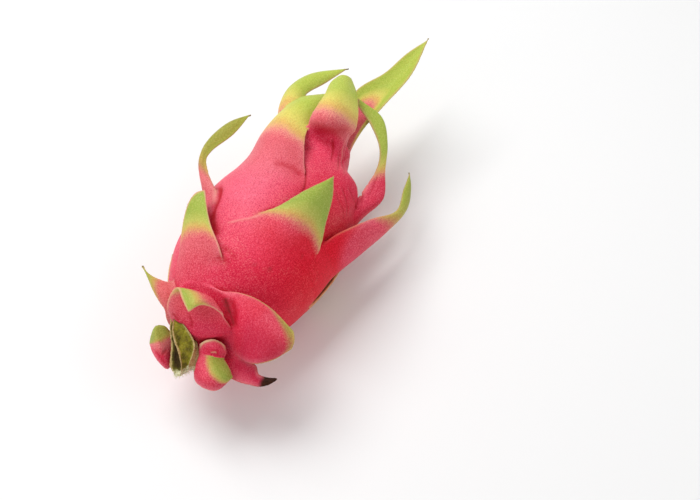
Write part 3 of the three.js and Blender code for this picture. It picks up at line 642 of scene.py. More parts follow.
def coats(material, ground, layers):
    """A colour under coats of others, from the lowest up: how far each covers, and its colour."""
    for share, colour in layers:
        ground = blend(material, share, ground, paint(colour) if isinstance(colour, str) else colour)
    return ground


def finish_surface(material, shader, colour, height, strength, deep):
    """Links a colour, and a bump from a height in which 1 stands so many metres deep."""
    fill(material, shader.inputs["Base Color"], colour)
    bump = add(material, "ShaderNodeBump", Height=height, Strength=strength, Distance=deep)
    fill(material, shader.inputs["Normal"], bump.outputs["Normal"])


wood, shader = new_material("green_stem", 0.66)
where = on_object(wood)
patches = speckle(wood, where, 260.0, 4.0)
grain = speckle(wood, where, 1500.0, 4.0, 0.7)
rind = ramp(wood, patches, [(0.3, "453d08"), (0.43, "665f14"), (0.57, "8a8620"), (0.7, "b0a63c")])
hollow_shade = ramp(wood, patches, [(0.35, "2a1a0a"), (0.65, "4a3a14")])
rind = coats(wood, rind, [
    (spread(wood, grain, 0.45, 0.75, 0.0, 0.5), "a79f5a"),
    # painted shade in the bottoms of the hollow faces
    (read(wood, "recess"), hollow_shade)])
cork = ramp(wood, grain, [(0.3, "8a6f3e"), (0.5, "b9a06a"), (0.7, "d9c894")])
ribs = plus(wood, read(wood, "rib"), spread(wood, patches, 0.3, 0.7, -0.22, 0.22))
core = ramp(wood, grain, [(0.3, "6b5a2c"), (0.42, "b5ab70"), (0.55, "e2deb8"), (0.8, "f6f3de")])
tears = plus(wood, read(wood, "torn"), spread(wood, patches, 0.3, 0.7, -0.25, 0.25))
tone = coats(wood, rind, [(spread(wood, ribs, 0.28, 0.6), cork), (spread(wood, tears, 0.3, 0.75), core)])
finish_surface(wood, shader, tone, grain, 0.5, 0.0003)
shader.inputs["Specular IOR Level"].default_value = 0.1
stub.data.materials.append(wood)
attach(stub, "root")
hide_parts("stem_stub")

# lengths in metres; Spread is how far a bristle strays from its aim, and Upright how far it stands up
# from the surface that it grows on
FIBRES = dict(Count=240, Length=0.003, Thickness=0.0004, Spread=0.8, Upright=0.4, Bend=0.0009, Seed=4)
BRISTLE_SIDES = 5
BRISTLE_STEPS = 4


def dry_matter(name, stops):
    """Dead plant fibre: matt, its colour running through the stops."""
    made, shader = new_material(name, 0.8)
    fine = speckle(made, on_object(made), 900.0)
    finish_surface(made, shader, ramp(made, fine, stops), fine, 0.4, 0.0002)
    shader.inputs["Specular IOR Level"].default_value = 0.2
    return made


def bristles(name, points, faces, aim, sizes, material):
    """Bristles grown on a patch of surface by Geometry Nodes, and made one plain mesh."""
    grown = new_piece(name, points, faces)
    patch = grown.data
    values = dict(sizes, Aim=[float(a) for a in aim])
    values["Density"] = values.pop("Count") / sum(face.area for face in patch.polygons)
    tree = bpy.data.node_groups.new(name, "GeometryNodeTree")
    for way in ("OUTPUT", "INPUT"):
        tree.interface.new_socket("Geometry", in_out=way, socket_type="NodeSocketGeometry")
    kinds = dict(Seed="NodeSocketInt", Aim="NodeSocketVector")
    sockets = {key: tree.interface.new_socket(
        key, in_out="INPUT", socket_type=kinds.get(key, "NodeSocketFloat")) for key in values}
    given = tree.nodes.new("NodeGroupInput").outputs

    def link(node, inputs):
        for key, value in inputs.items():
            socket = node.inputs[key if isinstance(key, int) else key.replace("_", " ")]
            if isinstance(value, bpy.types.NodeSocket):
                tree.links.new(value, socket)
            else:
                socket.default_value = value
        return node

    def node(kind, **inputs):
        return link(tree.nodes.new(kind), inputs)

    def figure(kind, operation, *terms, **inputs):
        made = tree.nodes.new(kind)
        made.operation = operation
        return link(made, dict(enumerate(terms)) | inputs).outputs[0]

    def product(first, second):
        return figure("ShaderNodeMath", "MULTIPLY", first, second)

    def scaled(vector, size):
        return figure("ShaderNodeVectorMath", "SCALE", vector, Scale=size)

    def chance(low, high, draw):
        made = tree.nodes.new("FunctionNodeRandomValue")
        made.data_type = "FLOAT_VECTOR"
        seed = figure("ShaderNodeMath", "ADD", given["Seed"], draw)
        return link(made, dict(Min=low, Max=high, Seed=seed)).outputs[0]

    place_at = node("GeometryNodeInputPosition").outputs[0]
    height = node("ShaderNodeSeparateXYZ", Vector=place_at).outputs["Z"]
    height = figure("ShaderNodeMath", "DIVIDE", height, given["Length"])
    bow = product(figure("ShaderNodeMath", "POWER", height, 2.0), given["Bend"])
    bristle = node(
        "GeometryNodeMeshCone", Vertices=BRISTLE_SIDES, Side_Segments=BRISTLE_STEPS, Depth=given["Length"],
        Radius_Bottom=product(given["Thickness"], 0.5), Radius_Top=product(given["Thickness"], 0.05))
    bowed = node("GeometryNodeSetPosition", Geometry=bristle.outputs["Mesh"],
                 Offset=node("ShaderNodeCombineXYZ", X=bow).outputs[0])
    roots = node("GeometryNodeDistributePointsOnFaces", Mesh=given["Geometry"], Density=given["Density"],
                 Seed=given["Seed"])
    lean = chance(scaled((-1, -1, -1), given["Spread"]), scaled((1, 1, 1), given["Spread"]), 1)
    facing = figure("ShaderNodeVectorMath", "ADD", given["Aim"], lean)
    upright = scaled(roots.outputs["Normal"], given["Upright"])
    facing = figure("ShaderNodeVectorMath", "ADD", facing, upright)
    turned = node("FunctionNodeAlignRotationToVector", Vector=facing)
    turned.axis = "Z"
    stood = node("GeometryNodeInstanceOnPoints", Points=roots.outputs["Points"], Instance=bowed.outputs[0],
                 Rotation=turned.outputs[0], Scale=chance((0.6, 0.6, 0.4), (1.3, 1.3, 1.1), 2))
    spun = node("GeometryNodeRotateInstances", Instances=stood.outputs[0],
                Rotation=chance((0, 0, 0), (0, 0, 2 * pi), 3))
    whole = node("GeometryNodeRealizeInstances", Geometry=spun.outputs[0])
    dressed = node("GeometryNodeSetMaterial", Geometry=whole.outputs[0], Material=material)
    tree.links.new(dressed.outputs[0], tree.nodes.new("NodeGroupOutput").inputs[0])

    modifier = grown.modifiers.new(name, "NODES")
    modifier.node_group = tree
    for key, socket in sockets.items():
        modifier[socket.identifier] = values[key]
    grown.data = bpy.data.meshes.new_from_object(grown.evaluated_get(bpy.context.evaluated_depsgraph_get()))
    grown.modifiers.clear()
    bpy.data.meshes.remove(patch)
    grown.data.name = name
    grown.data.shade_smooth()
    return grown


straw = dry_matter("torn_fibre", [(0.3, "c4bb8c"), (0.5, "ebe5c6"), (0.7, "fbf8e8")])
tip_aim, foot_aim = laid([ahead, (0, 0, 0)])
fibres = bristles("stub_torn_fibres", laid(stub_end.reshape(-1, 3)), stub_end_faces.tolist(),
                  tip_aim - foot_aim, FIBRES, straw)
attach(fibres, "root")

# ---- Fruit -------------------------------------------------------------------------------------------
# Skin and bracts are one growth. They are joined as distance fields, so that every bract flares out of
# the skin with a fillet at its base and stays crisp at its free margins, then meshed as one surface.

GRAIN = 0.42            # mm between samples of a field
BAND = 10               # samples kept on either side of a surface
ROOM = 14               # samples kept free around the fruit
FILLET = 4.0            # mm, at the base of a bract
CRISP = 0.35            # mm, where free bracts touch
FREE_FROM = 0.34        # share of a bract's length where its fillet ends
POCKET_GAP = 0.3        # mm, between the stub and the pocket that it sits in
SKIN_FACES = 190000
COARSE = 3.0            # mm, the lattice on which the fillet is spread
SHORTEST_TIP = 0.5      # mm, how far a bract is closed beyond its last ring
TIP_GROWTH = 0.25       # how much further, for each mm of that ring's width
LONGEST_TIP = 1.2       # mm
BLUNT = 1.5             # mm, a bract whose last ring is wider has a margin across its tip too
HEM_OVER = 0.3          # shares of a bract's length over which its pale hem and its dust come
DUSTY_OVER = 0.1
SKIN_SAMPLE = 3         # one point in so many of the bare skin is kept as a sample
SPOT_TONE = 0.8         # how strong a spot's brown is

# what each point of the fruit knows of its bract: the share of the length, the mm from the nearest
# margin, and the bract's colours; and what the bare skin knows instead
FACTS = ("share", "margin", "green", "lime", "pale", "dull", "dry", "dusty")
BARE_SKIN = [-1.0, 20.0, 0.0, 0.0, 0.0, 0.0, 2.0, 0.0]

# grooves of the skin, and welts where deep is below 0: finish, how strong that is, deep and wide in mm,
# and knots; the deep crimson finish along a groove is painted shade
FOLDS = [
    # the body, between its bracts
    ("groove_shade", 0.5, 0.6, 2.0, [(99, -10, 36.5), (102, -3, 35.3), (103.5, 4, 34.7), (104, 11, 33.8),
     (102, 20, 33)]),
    ("groove_shade", 0.7, 0.45, 0.6, [(113, 9), (107, 16), (101, 22), (96, 24.5), (91, 24)]),
    ("groove_shade", 0.6, 0.55, 1.5, [(79, -44), (74.5, -35), (69, -30), (66, -29), (61, -27), (55, -22),
     (49, -14)]),
    ("groove_shade", 0.7, 0.5, 2.6, [(62, -29), (57, -25), (53, -18), (48, -10)]),
    ("groove_shade", 0.4, 0.3, 1.5, [(45, -2, 40), (45, 2, 39), (43.5, 9, 38), (42, 14, 37.5)]),
    ("groove_shade", 0.4, 0.25, 1.8, [(39.5, -2, 38.6), (39.5, 4, 37.5), (40, 12, 37)]),
    # the collar above the blunt flap, and the scabbed seam at its foot
    ("groove_shade", 0.9, 0.6, 0.7, [(17.7, -2, 39.1), (18.2, 1, 39.6), (18.5, 5, 40), (19.2, 7, 38.7),
     (19.6, 10, 38.8), (20, 13, 38.5)]),
    ("scab", 1.0, 0.5, 0.9, [(24.4, 19, 34), (23.4, 22, 33.3), (21.4, 28, 32.8), (19.7, 32, 32.4),
     (16.6, 41, 31.6), (14.9, 45, 30.2)]),
    ("scab", 1.0, 0.0, 2.0, [(24.5, 20, 34), (22.5, 25, 33), (20.5, 30, 32.6), (18.5, 35, 32)]),
    ("groove_shade", 0.9, 0.7, 1.6, [(25, 24, 36), (24.2, 27, 35.6), (21.3, 34, 35.6), (17.9, 39, 33.6),
     (15.1, 46, 32.5)]),
    # the hood: its hollow, its creases and its rim
    ("groove_shade", 0.55, 0.3, 4.0, [(131, -8, 24), (133.6, -2, 25), (135.8, 8, 25.8), (137.2, 14, 26.8),
     (140.7, 23, 26.4), (144.6, 30, 24.8), (147, 36, 23)]),
    ("groove_shade", 0.3, 0.35, 0.8, [(137.5, 18, 22), (135.6, 24, 19.5), (133.3, 32, 18), (128.9, 36, 19.2),
     (124, 38, 22)]),
    ("groove_shade", 0.3, 0.4, 0.6, [(140, 28, 20), (138.4, 34, 19.5), (136.3, 44, 17.2), (130.7, 50, 18.3),
     (125, 50, 23), (120, 48, 25.5)]),
    ("groove_shade", 0.3, 0.4, 0.6, [(143, 36, 19.5), (141.6, 41, 18.2), (139, 53, 16.1), (130.7, 60, 18.5),
     (125, 60, 24.7), (120, 58, 27)]),
    ("rim", 0.6, -0.35, 0.55, [(146, 32, 21.5), (144.5, 37, 20), (141.6, 41, 18.2), (137.2, 47, 17),
     (134.3, 56, 16.9), (130, 56, 19)]),
    # the body below the hood
    ("groove_shade", 0.4, 0.35, 0.8, [(119, 64, 29), (117.5, 69, 30.4), (116.1, 77, 31.9), (115.4, 91, 32.8),
     (112, 100, 34)]),
    ("groove_shade", 0.4, 0.35, 0.8, [(115, 58, 29), (112.4, 64, 31.6), (110.5, 69, 32.7), (107.4, 75, 34),
     (103, 80, 35)]),
    ("groove_shade", 0.35, 0.3, 0.8, [(111, 52, 29), (107, 58, 32.6), (105.4, 63, 33.6), (104, 71, 33.8),
     (100, 77, 35)]),
    # the thin arch: its foot and two long grooves
    ("groove_shade", 0.7, 0.7, 0.9, [(126, 82, 27), (124.5, 87, 29), (125, 97, 31.5), (118.8, 95, 33.8)]),
    ("groove_shade", 0.4, 0.3, 0.6, [(143.1, 99, 30.6), (135.9, 98, 31.1), (130.6, 99, 30.9), (126, 99, 31)]),
    ("groove_shade", 0.4, 0.3, 0.6, [(143.1, 98, 32.5), (135.5, 99, 33.7), (130, 98, 34.8), (125, 97, 35)]),
    # the raised feet of the horn and of the top bract
    ("rim", 0.5, -0.7, 1.3, [(76, -48, 44), (74.8, -45, 42.3), (73.2, -41, 40.4), (67.8, -33, 39.8),
     (64, -31)]),
    ("rim", 0.6, -0.4, 0.7, [(57, -11, 39), (58.6, -7, 39.4), (61.9, -1, 39.8), (65.1, 5, 40.5),
     (69.3, 11, 41.7)]),
    # the little curl: its dried cream rim and a scrap of it
    ("cream", 1.0, -0.2, 0.65, [(-0.3, 37, 14.9), (0.9, 34, 15.8), (2.3, 32, 17.3), (3.8, 33, 18.9),
     (5.1, 36, 20.4), (6.3, 39, 21.5), (7.2, 43, 22.3), (7.6, 49, 22.8), (7.4, 55, 23.4), (6.7, 59, 23.9),
     (5.7, 62, 24.1)]),
    ("cream", 0.7, -0.2, 0.22, [(0.7, 47, 21.6), (1.6, 49, 23.2), (2, 53, 24.1)]),
    ("groove_shade", 0.5, 0.3, 0.8, [(2.4, 46, 22), (2.9, 50, 23.7), (2.8, 54, 24)]),
    # the folded bract: two creases and its rim
    ("groove_shade", 0.85, 0.6, 0.7, [(9.6, 0, 27.2), (8.3, 3, 25.7), (6.7, 6, 24), (4.8, 7, 21.3)]),
    ("groove_shade", 0.8, 0.5, 0.8, [(6.7, -20, 26), (6.4, -17, 23.8), (6.2, -12, 22.1)]),
    ("rim", 0.8, -0.25, 0.4, [(15.7, 24, 38.7), (15.8, 28, 36.3), (15.5, 32, 34.2), (15.1, 37, 31.7),
     (14.6, 42, 30)]),
    # the left lobe
    ("groove_shade", 0.7, 0.45, 0.7, [(-11.4, -35, 17.4), (-12.7, -26, 15.6), (-13.2, -22, 12.6),
     (-13.7, -16, 9.6)]),
    ("groove_shade", 0.6, 0.4, 0.7, [(-12.7, -22, 14.2), (-10.4, -19, 14.8), (-7.4, -20, 14.3)]),
]
FOLD_STEPS = 60
FOLD_SIDES = 3          # widths on either side of a fold's line, beyond which it is not felt
FOLD_ENDS = 0.2         # share of a fold's length over which it fades out at each end
FOLD_REACH = 2.5        # mm on either side of the surface that a fold moves
LANDING_ROUNDS = 5
EASING_ROUNDS = 6
# small brown spots: radius in mm, and a knot
SPOTS = [(1.1, (48.3, 37, 39.2)), (0.7, (64.4, 52, 40.7)), (0.7, (45.1, 25, 38.4)), (0.6, (-2.3, 72, 30.4)),
         (0.5, (70, -20)), (0.6, (33, -25, 38)), (0.5, (88, 34, 40)), (0.6, (90, 140)), (0.8, (60, 170))]

field_grid = openvdb.createLinearTransform(voxelSize=GRAIN)


def distance_field(points, quads, triangles):
    """The signed distance from a closed surface: the first sample's place in the lattice, and the values."""
    grid = openvdb.FloatGrid.createLevelSetFromPolygons(
        points.astype(np.float32), triangles.astype(np.uint32), quads.astype(np.uint32), field_grid, BAND)
    low, high = (np.array(corner) for corner in grid.evalActiveVoxelBoundingBox())
    values = np.zeros(tuple(high - low + 1), np.float32)
    grid.copyToArray(values, ijk=tuple(int(c) for c in low))
    return low, values


def stretched(values, shape):
    """Values on a coarse lattice, drawn out to a fine one."""
    for axis, count in enumerate(shape):
        x = np.linspace(0, values.shape[axis] - 1, count)
        i = np.minimum(x.astype(int), values.shape[axis] - 2)
        f = (x - i).reshape([-1 if k == axis else 1 for k in range(3)]).astype(np.float32)
        values = np.take(values, i, axis) * (1 - f) + np.take(values, i + 1, axis) * f
    return values


fruit_box = np.array(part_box("fruit")) * 1000 / GRAIN
flesh_low = np.floor(fruit_box[0]).astype(int) - ROOM
flesh_high = np.ceil(fruit_box[1]).astype(int) + ROOM
flesh = np.full(tuple(flesh_high - flesh_low + 1), GRAIN * BAND, np.float32)


def overlap(low, values):
    """Slices of the flesh and of a smaller field where the two share the lattice."""
    a = np.maximum(low, flesh_low)
    b = np.minimum(low + values.shape, flesh_low + flesh.shape)
    outer = tuple(slice(s, e) for s, e in zip(a - flesh_low, b - flesh_low))
    inner = tuple(slice(s, e) for s, e in zip(a - low, b - low))
    return outer, inner


def fillet_field(low, shape, rings, share, free_from):
    """How wide the fillet is around a bract: found on a coarse lattice, from the nearest ring."""
    coarse = np.maximum(2, np.ceil(np.array(shape) * GRAIN / COARSE).astype(int))
    axes = [np.linspace(low[k], low[k] + shape[k] - 1, coarse[k]) * GRAIN for k in range(3)]
    lattice = np.stack(np.meshgrid(*axes, indexing="ij"), -1).reshape(-1, 3).astype(np.float32)
    every = rings[::2, :BRACT_ACROSS:4]
    face = laid(every.reshape(-1, 3)).astype(np.float32)
    away = (lattice ** 2).sum(1)[:, None] + (face ** 2).sum(1)[None, :] - 2 * lattice @ face.T
    nearest = np.repeat(share[::2], every.shape[1])[np.argmin(away, axis=1)]
    width = CRISP + (FILLET - CRISP) * (1 - smooth(nearest / free_from))
    return stretched(width.reshape(coarse).astype(np.float32), shape)


rings, foot, crown = skin_points()
skin_surface = laid(np.vstack([rings.reshape(-1, 3), foot, crown]))
quads, caps = ring_faces(len(rings), SKIN_SIDES, len(skin_surface) - 2, len(skin_surface) - 1)
low, values = distance_field(skin_surface, quads, caps)
outer, inner = overlap(low, values)
flesh[outer] = values[inner]
sample_points = [skin_surface[::SKIN_SAMPLE]]
sample_facts = [np.tile(BARE_SKIN, (len(sample_points[0]), 1))]

for bract in BRACTS.values():
    rings, share = bract_rings(bract)
    count, size = rings.shape[:2]
    width = np.linalg.norm(rings[:, BRACT_ACROSS - 1] - rings[:, 0], axis=1)
    ahead = rings[-1].mean(0) - rings[-2].mean(0)
    beyond = min(LONGEST_TIP, SHORTEST_TIP + TIP_GROWTH * width[-1])
    tip = rings[-1].mean(0) + ahead / np.linalg.norm(ahead) * beyond
    surface = laid(np.vstack([rings.reshape(-1, 3), rings[0].mean(0), tip]))
    quads, caps = ring_faces(count, size, len(surface) - 2, len(surface) - 1)
    low, values = distance_field(surface, quads, caps)
    fillet = fillet_field(low, values.shape, rings, share, bract.get("free_from", FREE_FROM))
    outer, inner = overlap(low, values)
    a, b, k = flesh[outer], values[inner], fillet[inner]
    mix = np.clip(0.5 + 0.5 * (b - a) / k, 0, 1)
    joined = b * (1 - mix) + a * mix - k * mix * (1 - mix)
    flesh[outer] = np.where(b < GRAIN * BAND * 0.98, joined, a)

    q = np.concatenate([across, across[::-1]])[None, :]
    ripe = share[:, None] + bract["hem"] * np.abs(q) ** 3 + bract.get("lean", 0) * q
    start, full = bract["green"]
    margin = (1 - np.abs(q)) * width[:, None] / 2
    if width[-1] > BLUNT:
        length = np.linalg.norm(np.diff(rings.mean(1), axis=0), axis=1).sum()
        margin = np.minimum(margin, (1 - share[:, None]) * length)
    known = dict(
        share=share[:, None], margin=margin, green=(ripe - start) / (full - start), lime=bract["lime"],
        pale=bract["pale"] * rises(share, bract.get("hem_from", 0.1), HEM_OVER)[:, None],
        dull=bract.get("dull", 0), dry=bract.get("dry", 2),
        dusty=bract.get("dusty", 0.2) * rises(share, bract.get("dusty_from", -0.2), DUSTY_OVER)[:, None])
    facts = np.stack([np.broadcast_to(known[fact], (count, size)) for fact in FACTS], -1)
    sample_points.append(laid(rings.reshape(-1, 3)))
    sample_facts.append(facts.reshape(-1, len(FACTS)))


def onto_surface(line):
    """A line near the flesh's surface, moved onto it along the field's slope and smoothed."""
    for _ in range(LANDING_ROUNDS):
        i, j, k = np.clip(np.round(line / GRAIN).astype(int) - flesh_low, 1, np.array(flesh.shape) - 2).T
        slope = np.stack([flesh[i + 1, j, k] - flesh[i - 1, j, k], flesh[i, j + 1, k] - flesh[i, j - 1, k],
                          flesh[i, j, k + 1] - flesh[i, j, k - 1]], -1)
        slope /= np.maximum(np.linalg.norm(slope, axis=1, keepdims=True), 1e-6)
        line = line - slope * flesh[i, j, k][:, None]
    for _ in range(EASING_ROUNDS):
        line[1:-1] = (line[:-2] + 2 * line[1:-1] + line[2:]) / 4
    return line


def from_line(points, line, wide):
    """1 at points on a line, falling to 0 over its width and at its two ends."""
    strength = np.zeros(len(points))
    reach = FOLD_SIDES * wide
    close = np.all((points > line.min(0) - reach) & (points < line.max(0) + reach), axis=1)
    some = points[close]
    away = np.full(len(some), np.inf)
    full = np.zeros(len(some))
    for share, p in zip(np.linspace(0, 1, len(line)), line):
        step = ((some - p) ** 2).sum(1)
        closer = step < away
        away[closer] = step[closer]
        full[closer] = min(1, min(share, 1 - share) / FOLD_ENDS)
    strength[close] = np.exp(-away / wide ** 2) * smooth(full)
    return strength


fold_lines = []
for finish, tone, deep, wide, knots in FOLDS:
    line = onto_surface(along(laid([place(k) for k in knots]), FOLD_STEPS))
    fold_lines.append(line)
    start = np.floor((line.min(0) - FOLD_SIDES * wide) / GRAIN).astype(int) - flesh_low
    end = np.ceil((line.max(0) + FOLD_SIDES * wide) / GRAIN).astype(int) - flesh_low
    part = flesh[tuple(slice(max(0, s), e) for s, e in zip(start, end))]
    near = np.argwhere(np.abs(part) < FOLD_REACH)
    part[tuple(near.T)] += deep * from_line((near + np.maximum(start, 0) + flesh_low) * GRAIN, line, wide)

# the belly is pressed flat where it rests, and the stub's pocket is left free
level = ((flesh_low[2] + np.arange(flesh.shape[2])) * GRAIN).astype(np.float32)
flesh = np.maximum(flesh, -level)
low, values = distance_field(stub_surface, stub_quads, stub_caps)
outer, inner = overlap(low, values)
flesh[outer] = np.maximum(flesh[outer], POCKET_GAP - values[inner])


def meshed(low, values, name, faces):
    """The zero surface of a field as a mesh in metres, thinned to about so many triangles."""
    grid = openvdb.FloatGrid(GRAIN * BAND)
    grid.transform = field_grid
    grid.copyFromArray(values, ijk=tuple(int(c) for c in low))
    points, triangles, quads = grid.convertToPolygons(isovalue=0, adaptivity=0)
    made = new_piece(name, points, quads.tolist() + triangles.tolist())
    thin = made.modifiers.new("thin", "DECIMATE")
    thin.ratio = min(1.0, faces / (2 * len(quads) + len(triangles)))
    full = made.data
    made.data = bpy.data.meshes.new_from_object(made.evaluated_get(bpy.context.evaluated_depsgraph_get()))
    made.modifiers.clear()
    bpy.data.meshes.remove(full)
    made.data.name = name
    made.data.shade_smooth()
    return made


def box_blur(values, reach):
    """The mean over a cube reaching so many samples each way."""
    for axis in range(3):
        total = np.cumsum(values, axis=axis, dtype=np.float32)
        ahead = np.roll(total, -reach, axis=axis)
        behind = np.roll(total, reach + 1, axis=axis)
        values = (ahead - behind) / (2 * reach + 1)
    return values


fruit = meshed(flesh_low, flesh, "dragon_fruit", SKIN_FACES)
points = np.zeros(len(fruit.data.vertices) * 3, np.float32)
fruit.data.vertices.foreach_get("co", points)
points = points.reshape(-1, 3).astype(float) * 1000

NEAREST = 4             # samples that a point takes its facts from
NEAREST_BLUR = 0.15     # mm
DRIED_OVER = 0.06       # share of a bract's length over which its tip turns dry
BEND_REACH = 6          # samples on each side that count as the flesh around a point
CREASE_BEND = 0.5       # mm, at which a crease has its full painted shade
EDGE_BEND = 1.2
HIGHLIGHT_SIDE = (0.29, 0.43, 0.855)      # the way that skin with the painted highlight faces: towards the big light
HIGHLIGHT_FACING = (0.35, 0.6)            # how nearly it must face that way, and over how much more it is full
HIGHLIGHT_KNOT = (86, -6)               # where the painted highlight is strongest
HIGHLIGHT_REACH = 30.0                  # mm
HIGHLIGHT_EDGE = 1.2                    # how many times that far from there the painted highlight begins
HIGHLIGHT_LEAST = 0.35                  # how much of it there is everywhere else

# Painted shade that comes and goes over the floor's x, which runs from the stem to the crown, and y, across
# it: where each starts, and over how many mm it comes.
SHADE_X, SHADE_X_END, SHADE_Y = (-110, 60), (22, -48), (8, -50)     # painted shade: deep crimson over one side
SHADE_REACH = (45, -3)              # mm from the axis: bracts that stand out further don't have it
COLLAR_X, COLLAR_X_END = (-106, 10), (-84, -12)     # the foot of the blunt flap, which has weaker painted shade
COLLAR_SHADE = 0.3
COLLAR_SHARE = (0.1, 0.2)           # shares of a bract's length, past the bare skin
FLAP_Y = (-22, -8)                  # painted shade on the flap itself: a darker, duller pink
FLAP_SHARE = (0, 0.2)

# how far each point lies in a crease (painted shade) or out on an edge (painted highlight): flesh around it,
# against a flat skin's
bend = box_blur(flesh, BEND_REACH)
cell = np.clip(np.round(points / GRAIN).astype(int) - flesh_low, 0, np.array(flesh.shape) - 1)
bend = bend[tuple(cell.T)] - flesh[tuple(cell.T)]
del flesh

samples, facts = np.vstack(sample_points), np.vstack(sample_facts)
tree = kdtree.KDTree(len(samples))
for i, p in enumerate(samples):
    tree.insert(p, i)
tree.balance()
found = np.zeros((len(points), len(FACTS)))
for i, p in enumerate(points):
    near = tree.find_n(p, NEAREST)
    weight = np.array([1 / (n[2] + NEAREST_BLUR) ** 2 for n in near])
    found[i] = weight @ facts[[n[1] for n in near]] / weight.sum()
found = dict(zip(FACTS, found.T))
share = found.pop("share")
found["dry"] = rises(share, found["dry"], DRIED_OVER)

x, y = points[:, 0], points[:, 1]
from_foot = points - SET_DOWN
rise = from_foot @ (-sin(radians(AXIS_TILT)), 0, cos(radians(AXIS_TILT)))
# painted shade: deep crimson over one side of the body, left off the bracts that stand out
shade = rises(y, *SHADE_Y) * rises(x, *SHADE_X) * rises(x, *SHADE_X_END)
shade *= rises(np.hypot(from_foot[:, 1], rise), *SHADE_REACH)
# painted shade, weaker, over the foot of the blunt flap
collar_painted_shade = rises(x, *COLLAR_X_END) * rises(x, *COLLAR_X) * rises(share, *COLLAR_SHARE)
shade = np.maximum(shade, COLLAR_SHADE * collar_painted_shade)
# painted shade on the flap: a darker, duller pink
ripened = rises(x, *COLLAR_X_END) * rises(y, *FLAP_Y) * rises(share, *FLAP_SHARE)
facing = np.zeros(len(points) * 3, np.float32)
fruit.data.vertices.foreach_get("normal", facing)
# painted highlight: paler pink on skin facing the big light, strongest round one spot
sunny = rises(facing.reshape(-1, 3) @ HIGHLIGHT_SIDE, *HIGHLIGHT_FACING)
from_highlight = np.linalg.norm(points - laid([place(HIGHLIGHT_KNOT)])[0], axis=1)
sunny *= HIGHLIGHT_LEAST + (1 - HIGHLIGHT_LEAST) * smooth(HIGHLIGHT_EDGE - from_highlight / HIGHLIGHT_REACH)
marks_and_groove_shade = {finish: np.zeros(len(points)) for finish in ("groove_shade", "rim", "scab", "cream")}
# painted shade along the grooves; rims, scabs and cream are the skin's own marks
for (finish, tone, deep, wide, knots), line in zip(FOLDS, fold_lines):
    marks_and_groove_shade[finish] = np.maximum(marks_and_groove_shade[finish], tone * from_line(points, line, wide))
for radius, knot in SPOTS:
    away = np.linalg.norm(points - laid([place(knot)])[0], axis=1)
    marks_and_groove_shade["scab"] = np.maximum(marks_and_groove_shade["scab"], SPOT_TONE * np.exp(-(away / radius) ** 2))
note(fruit, **marks_and_groove_shade, **found, crease=smooth(-bend / CREASE_BEND), edge=smooth(bend / EDGE_BEND),
     shade=shade, sunny=sunny, ripened=ripened)

skin, shader = new_material("dragon_fruit_skin", 0.44)
where = on_object(skin)
lengthwise = add(skin, "ShaderNodeMapping", Vector=where, Scale=(200.0, 1000.0, 1000.0)).outputs["Vector"]
cloudy = speckle(skin, where, 34.0, 3.0)
mottle = speckle(skin, where, 1500.0, 4.0, 0.7)
pores = speckle(skin, where, 3000.0, 2.0, 0.6)
streak = speckle(skin, lengthwise, 1.0, 3.0)

margin = read(skin, "margin")
ripe = plus(skin, read(skin, "green"), spread(skin, mottle, 0.3, 0.7, -0.07, 0.07))
ripe = plus(skin, ripe, spread(skin, cloudy, 0.3, 0.7, -0.06, 0.06))
# the grained crimson of the painted shade
shade_crimson = ramp(skin, mottle, [(0.32, "bc0016"), (0.5, "e00220"), (0.68, "f02442")])
pink = coats(skin, ramp(skin, cloudy, [(0.32, "d91f45"), (0.5, "e42f50"), (0.68, "ee4263")]), [
    # painted highlight on skin facing the big light
    (times(skin, read(skin, "sunny"), 0.65), "fb8098"),
    # painted highlight on convex edges near the margins
    (times(skin, read(skin, "edge"), spread(skin, margin, 0.5, 3.5, 0.55, 0.0)), "f88c9c"),
    (times(skin, read(skin, "dusty"), spread(skin, ripe, -1.6, -0.2)), "da807b"),
    (spread(skin, mottle, 0.5, 0.7, 0.0, 0.6), "f98aa0"),
    (spread(skin, mottle, 0.5, 0.3, 0.0, 0.75), "b80d3a"),
    (spread(skin, pores, 0.5, 0.3, 0.0, 0.35), "b80d35"),
    (spread(skin, streak, 0.52, 0.8, 0.0, 0.25), "c31d42"),
    # painted shade: deep crimson on the shaded side and the flap's collar, and a duller pink on the flap
    (times(skin, read(skin, "shade"), 0.95), shade_crimson),
    (times(skin, read(skin, "ripened"), 0.4), "a0183c"),
    # painted shade in creases
    (times(skin, read(skin, "crease"), 0.85), "b00016"),
    # painted shade along the grooves of the folds
    (read(skin, "groove_shade"), "b80a22")])

lime = [(0.0, "ee6a7a"), (0.2, "ee948a"), (0.4, "e2b364"), (0.6, "dfd268"), (1.0, "b9c852")]
leaf = [(0.0, "e0606f"), (0.25, "dc7c6c"), (0.45, "cfa55c"), (0.65, "b3b457"), (1.0, "97aa48")]
brown = ramp(skin, mottle, [(0.35, "7d6a22"), (0.65, "a8984a")])
green = coats(skin, blend(skin, read(skin, "lime"), ramp(skin, ripe, leaf), ramp(skin, ripe, lime)), [
    (spread(skin, streak, 0.5, 0.8, 0.0, 0.2), "8a8f35"),
    (spread(skin, mottle, 0.5, 0.3, 0.0, 0.4), "6f7a2a"),
    (spread(skin, mottle, 0.5, 0.7, 0.0, 0.35), "e6df92"),
    (times(skin, read(skin, "dull"), spread(skin, margin, 0.4, 1.8, 0.15, 0.7)), brown)])

